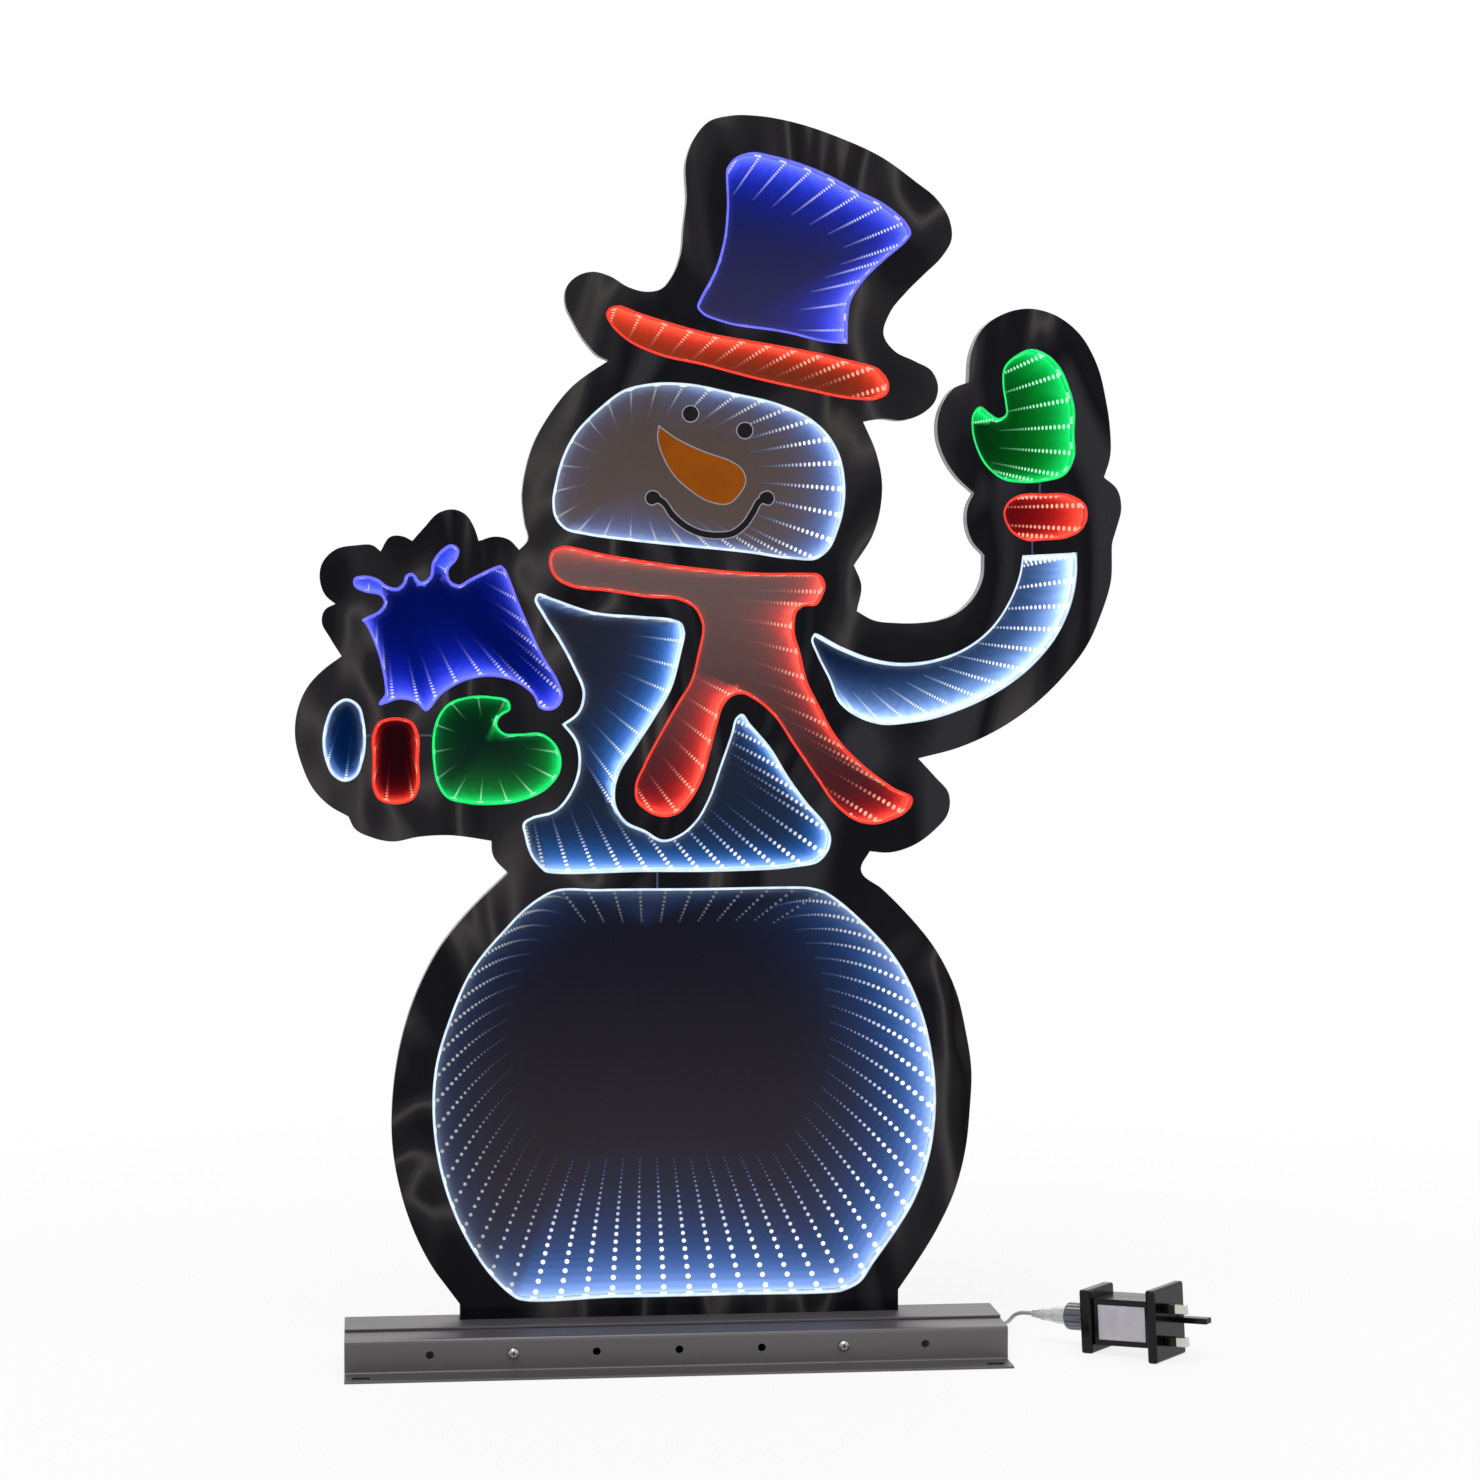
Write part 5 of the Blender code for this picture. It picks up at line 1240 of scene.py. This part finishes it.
def build_camera():
    """The camera at the photo's viewing angle."""
    data = bpy.data.cameras.new("camera")
    data.sensor_width = SENSOR_MM
    data.lens = data.sensor_width * FOCAL_PX / IMAGE_PX
    camera = add_object("camera", data)
    camera.location = CAMERA_PLACE
    camera.rotation_euler = camera_way().to_track_quat("-Z", "Y").to_euler()
    bpy.context.scene.camera = camera


def coil_place(turns):
    """The middle of the cord after a number of turns: it spirals in and out and climbs where it reverses."""
    layer = min(int(turns / COIL_TURNS_PER_LAYER), COIL_LAYERS - 1)
    into = turns - layer * COIL_TURNS_PER_LAYER
    drawn = into if layer % 2 == 0 else COIL_TURNS_PER_LAYER - into
    radius = COIL_OUTER_MM - COIL_PITCH_MM * drawn
    starts = [k * COIL_TURNS_PER_LAYER for k in range(1, COIL_LAYERS)]
    level = sum(min(1.0, max(0.0, (turns - start) / CLIMB_TURNS + 0.5)) for start in starts)
    angle = 2 * math.pi * turns
    x, y = COIL_CENTRE_MM
    return Vector((x + radius * math.cos(angle), y + radius * math.sin(angle),
                   COIL_HEIGHT_MM + COIL_PITCH_MM * level))


def smooth_route(places):
    """Points along a smooth curve through a cord's route."""
    slopes = route_slopes(places)
    line = []
    for i in range(len(places) - 1):
        length = (places[i + 1] - places[i]).length
        parts = max(1, round(length / CORD_STEP_MM))
        leave, arrive = (slope * length for slope in slopes[i:i + 2])
        line += [hermite(places[i], places[i + 1], leave, arrive, k / parts) for k in range(parts)]
    line.append(places[-1])
    return line


def build_cord():
    """The low-voltage lead: out of the gland, into its coil behind the base, and on to the connector."""
    x = GLAND_X_MM
    run = [
        (x, GLAND_END_MM + CLEARANCE_MM, HOLE_HEIGHT_MM), (x, GLAND_END_MM + 4, HOLE_HEIGHT_MM), (x, 56, 10),
        (x, 68, 6), (x, 80, 3.4), (x, 90, 2.9),
    ]
    end = BASE_END_MM
    lead = [
        (27, 116, 13), (32, 127, 12), (43, 135, 10), (58, 136, 7), (76, 128, 4), (94, 117, 2),
        (113, 107, 1.6), (134, 100, 1.6), (156, 96, 1.6), (end - 47, 94, 1.6), (end - 25, 92, 1.6),
        (end - 6, 87, 1.6), (end + 8, 76, 1.7), (end + 14, 62, 3), (end + 16, 48, 7),
    ]
    turns = COIL_TURNS_PER_LAYER * COIL_LAYERS
    coil = [coil_place(k / COIL_POINTS) for k in range(turns * COIL_POINTS + 1)]
    straight = Vector((0, CORD_DIAMETER_MM, 0))
    collar = (Vector(COLLAR_JOINT["pos_m"]) - Vector((BASE_MIDDLE, 0, 0))) / MM
    last = collar - PLUG_AXIS * (RELIEF_REACH_MM + CLEARANCE_MM)
    before_last = last - PLUG_AXIS * (2 * CORD_DIAMETER_MM)
    into = [Vector(p) for p in run] + [coil[0] - 2 * straight, coil[0] - straight, coil[0]]
    onward = [coil[-1], coil[-1] + straight, coil[-1] + 2 * straight] + [Vector(p) for p in lead]
    line = smooth_route(into)[:-1] + coil + smooth_route(onward + [before_last, last])[1:]
    places = [Vector((BASE_MIDDLE + p.x * MM, p.y * MM, p.z * MM)) for p in line]
    curve = bpy.data.curves.new("cord", "CURVE")
    curve.dimensions = "3D"
    curve.bevel_depth = CORD_DIAMETER_MM / 2 * MM
    curve.bevel_resolution = CORD_ROUNDING
    curve.use_fill_caps = True
    spline = curve.splines.new("POLY")
    spline.points.add(len(places) - 1)
    for point, place in zip(spline.points, places):
        point.co = (*place, 1.0)
    cord = add_object("cord", curve)
    clear = grained("clear cord", (142, 138, 132), (172, 168, 162), 0.22, 500, 0.00003, Coat_Weight=0.6,
                    Coat_Roughness=0.08)
    curve.materials.append(clear)
    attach(cord, STAND)
    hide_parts("cord_run", "cord_coil", "cord_lead")


def ease_edges(obj, width):
    """Small rounded edges, made by modifiers that leave the mesh as it is."""
    weld = obj.modifiers.new("joined corners", "WELD")
    weld.merge_threshold = WELD
    bevel = obj.modifiers.new("eased edges", "BEVEL")
    bevel.width = width
    bevel.segments = EASE_SEGMENTS
    bevel.limit_method = "ANGLE"
    bevel.angle_limit = EASE_ANGLE


def add_sleeve(pin, black):
    """A black sleeve on the part of a pin that is next to the plug's face."""
    bm = bmesh.new()
    bm.from_mesh(NODES[pin].data)
    bmesh.ops.remove_doubles(bm, verts=bm.verts, dist=WELD)
    start = min((vert.co for vert in bm.verts), key=PLUG_AXIS.dot)
    cut_at = start + PLUG_AXIS * SLEEVE_LENGTH
    made = bmesh.ops.bisect_plane(bm, geom=bm.verts[:] + bm.edges[:] + bm.faces[:], plane_co=cut_at,
                                  plane_no=PLUG_AXIS, clear_outer=True)
    rim = [item for item in made["geom_cut"] if isinstance(item, bmesh.types.BMEdge)]
    bmesh.ops.edgeloop_fill(bm, edges=rim)
    face_outward(bm)
    bm.normal_update()
    sideways = [vert.normal - PLUG_AXIS * vert.normal.dot(PLUG_AXIS) for vert in bm.verts]
    for vert, outward in zip(bm.verts, sideways):
        if outward.length > SIDEWAYS_LEAST:
            vert.co += outward.normalized() * SLEEVE_WALL
    sleeve = add_piece("sleeve_" + pin[4:], bm, [black], "adapter")
    ease_edges(sleeve, SLEEVE_EASE)


def add_recess_shade(word, dark):
    """The cross-shaped recess in the head of a clamp screw, as a dark cross of painted shade just proud of the
    head.
    """
    screw = "clamp_screw_" + word
    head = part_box(screw)[0].y
    arm = RECESS_ARM
    half = RECESS_HALF
    quarter = [Vector((arm, -half)), Vector((arm, half)), Vector((half, half))]
    cross = []
    for _ in range(4):
        cross += [node_middle(screw) + corner for corner in quarter]
        quarter = [Vector((-corner.y, corner.x)) for corner in quarter]
    bm = bmesh.new()
    front, back = (ring_of(bm, cross, y) for y in (head - RECESS_PROUD, head + RECESS_DEPTH))
    bm.faces.new(front)
    bm.faces.new(back[::-1])
    join_rings(bm, front, back)
    face_outward(bm)
    add_piece("recess_" + word, bm, [dark], STAND)


def base_metal():
    """Satin metal with painted shade: near black in the peg slots and in the hollow under the rails."""
    metal, tree, shader = new_material("satin metal with painted shade", srgb(96, 92, 95), 0.46, 0.55)
    tone_and_slot_shade = ramp(tree, noise(tree, 14, 3.0, (0.15, 1, 1)), srgb(89, 85, 88), srgb(103, 99, 101))
    # Painted shade: the peg slots are near black.
    for opening in frame["record"]["physics"]["openings"]:
        if opening["name"].endswith("peg_slot"):
            slot_low, slot_high = (Vector(corner) for corner in opening["box_m"])
            room = Vector((SLOT_EDGE, SLOT_EDGE, 0))
            slot_high.z = BASE_LOW.z + SHEET - SLOT_EDGE / 2
            tone_and_slot_shade = mixed(tree, in_box(tree, slot_low - room, slot_high + room), tone_and_slot_shade, srgb(9, 9, 10))
    # Painted shade: the hollow under the rails is near black.
    hollow_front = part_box("clamp_screw_left")[0].y + SCREW_HEAD + HOLLOW_FRONT
    hollow_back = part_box("clamp_nut_left")[0].y - SHEET
    hollow = in_box(tree, Vector((BASE_LOW.x, hollow_front, -1)),
                    Vector((BASE_HIGH.x, hollow_back, BASE_HIGH.z - HOLLOW_TOP)))
    set_sockets(shader, {
        "Base Color": mixed(tree, hollow, tone_and_slot_shade, srgb(12, 12, 13)),
        "Roughness": spread(tree, noise(tree, 900, 3.0, (0.02, 1, 1)), 0.4, 0.52),
        "Normal": bump(tree, noise(tree, 2600, 2.0, (0.01, 1, 1)), 0.00001, 0.35),
    })
    return metal


def finish_cad_nodes():
    """Better surfaces for the CAD nodes that stay."""
    made = {}
    nodes_of = {base_metal(): ["base_front_rail", "base_rear_rail"]}
    for name, (*values, sockets, nodes) in SURFACES.items():
        made[name] = grained(name, *values, **sockets)
        nodes_of[made[name]] = nodes
    # The wires glow with painted light: the strips' light leaking along their grooves
    nodes_of[lit_finish("lit wire", srgb(150, 185, 255), 0.22)] = ["feed_wire"] + JUMPERS
    for material, names in nodes_of.items():
        for name in names:
            mesh = NODES[name].data
            mesh.materials.clear()
            mesh.materials.append(material)
    for name in EASED:
        ease_edges(NODES[name], NODE_EASE)
    for name in SLEEVED:
        add_sleeve(name, made["gloss black plastic"])
    dark = grained("recess shade", (26, 26, 28), (40, 40, 42), 0.5, 900, 0.00002, 0.6)
    for word in ("left", "right"):
        add_recess_shade(word, dark)


bpy.context.scene.view_settings.view_transform = "Standard"
build_camera()
build_studio()
main_lights()

# The strip boards and edge lines glow with painted light; the packages are the lamps
STRIP_FINISH = strip_finishes(" strip", "line", strength=1.05)
PACKAGE_FINISH = strip_finishes(" package", "bead", strength=1.5)
LINE_FINISH = strip_finishes(" edge line", "line", strength=1.5)
ROW_FINISH = glowing("reflected lights", strength=1.4)
GLOW_FINISH = glowing("rear mirror glow", strength=1.0, roughness=0.12)

foot_ends = [place_mm(*OUTLINE[k][:2]) for k in (-1, 0)]
foot = [Vector((p.x, FOOT_HEIGHT_MM * MM)) for p in foot_ends]
outline_loop = smooth_loop(OUTLINE, LOOP_STEP, foot)
window_loops = {name: smooth_loop(points, LOOP_STEP) for name, points in WINDOWS.items()}
clamps = [circle(node_middle("clamp_screw_" + word), CLAMP_HOLE, CLAMP_SIDES) for word in ("left", "right")]
build_panel(outline_loop, list(window_loops.values()), clamps)
for window, window_loop in window_loops.items():
    for build in (build_strip, build_rows, build_glow):
        build(window, window_loop, COLOUR_OF[window])
build_trim()
finish_cad_nodes()
build_cord()
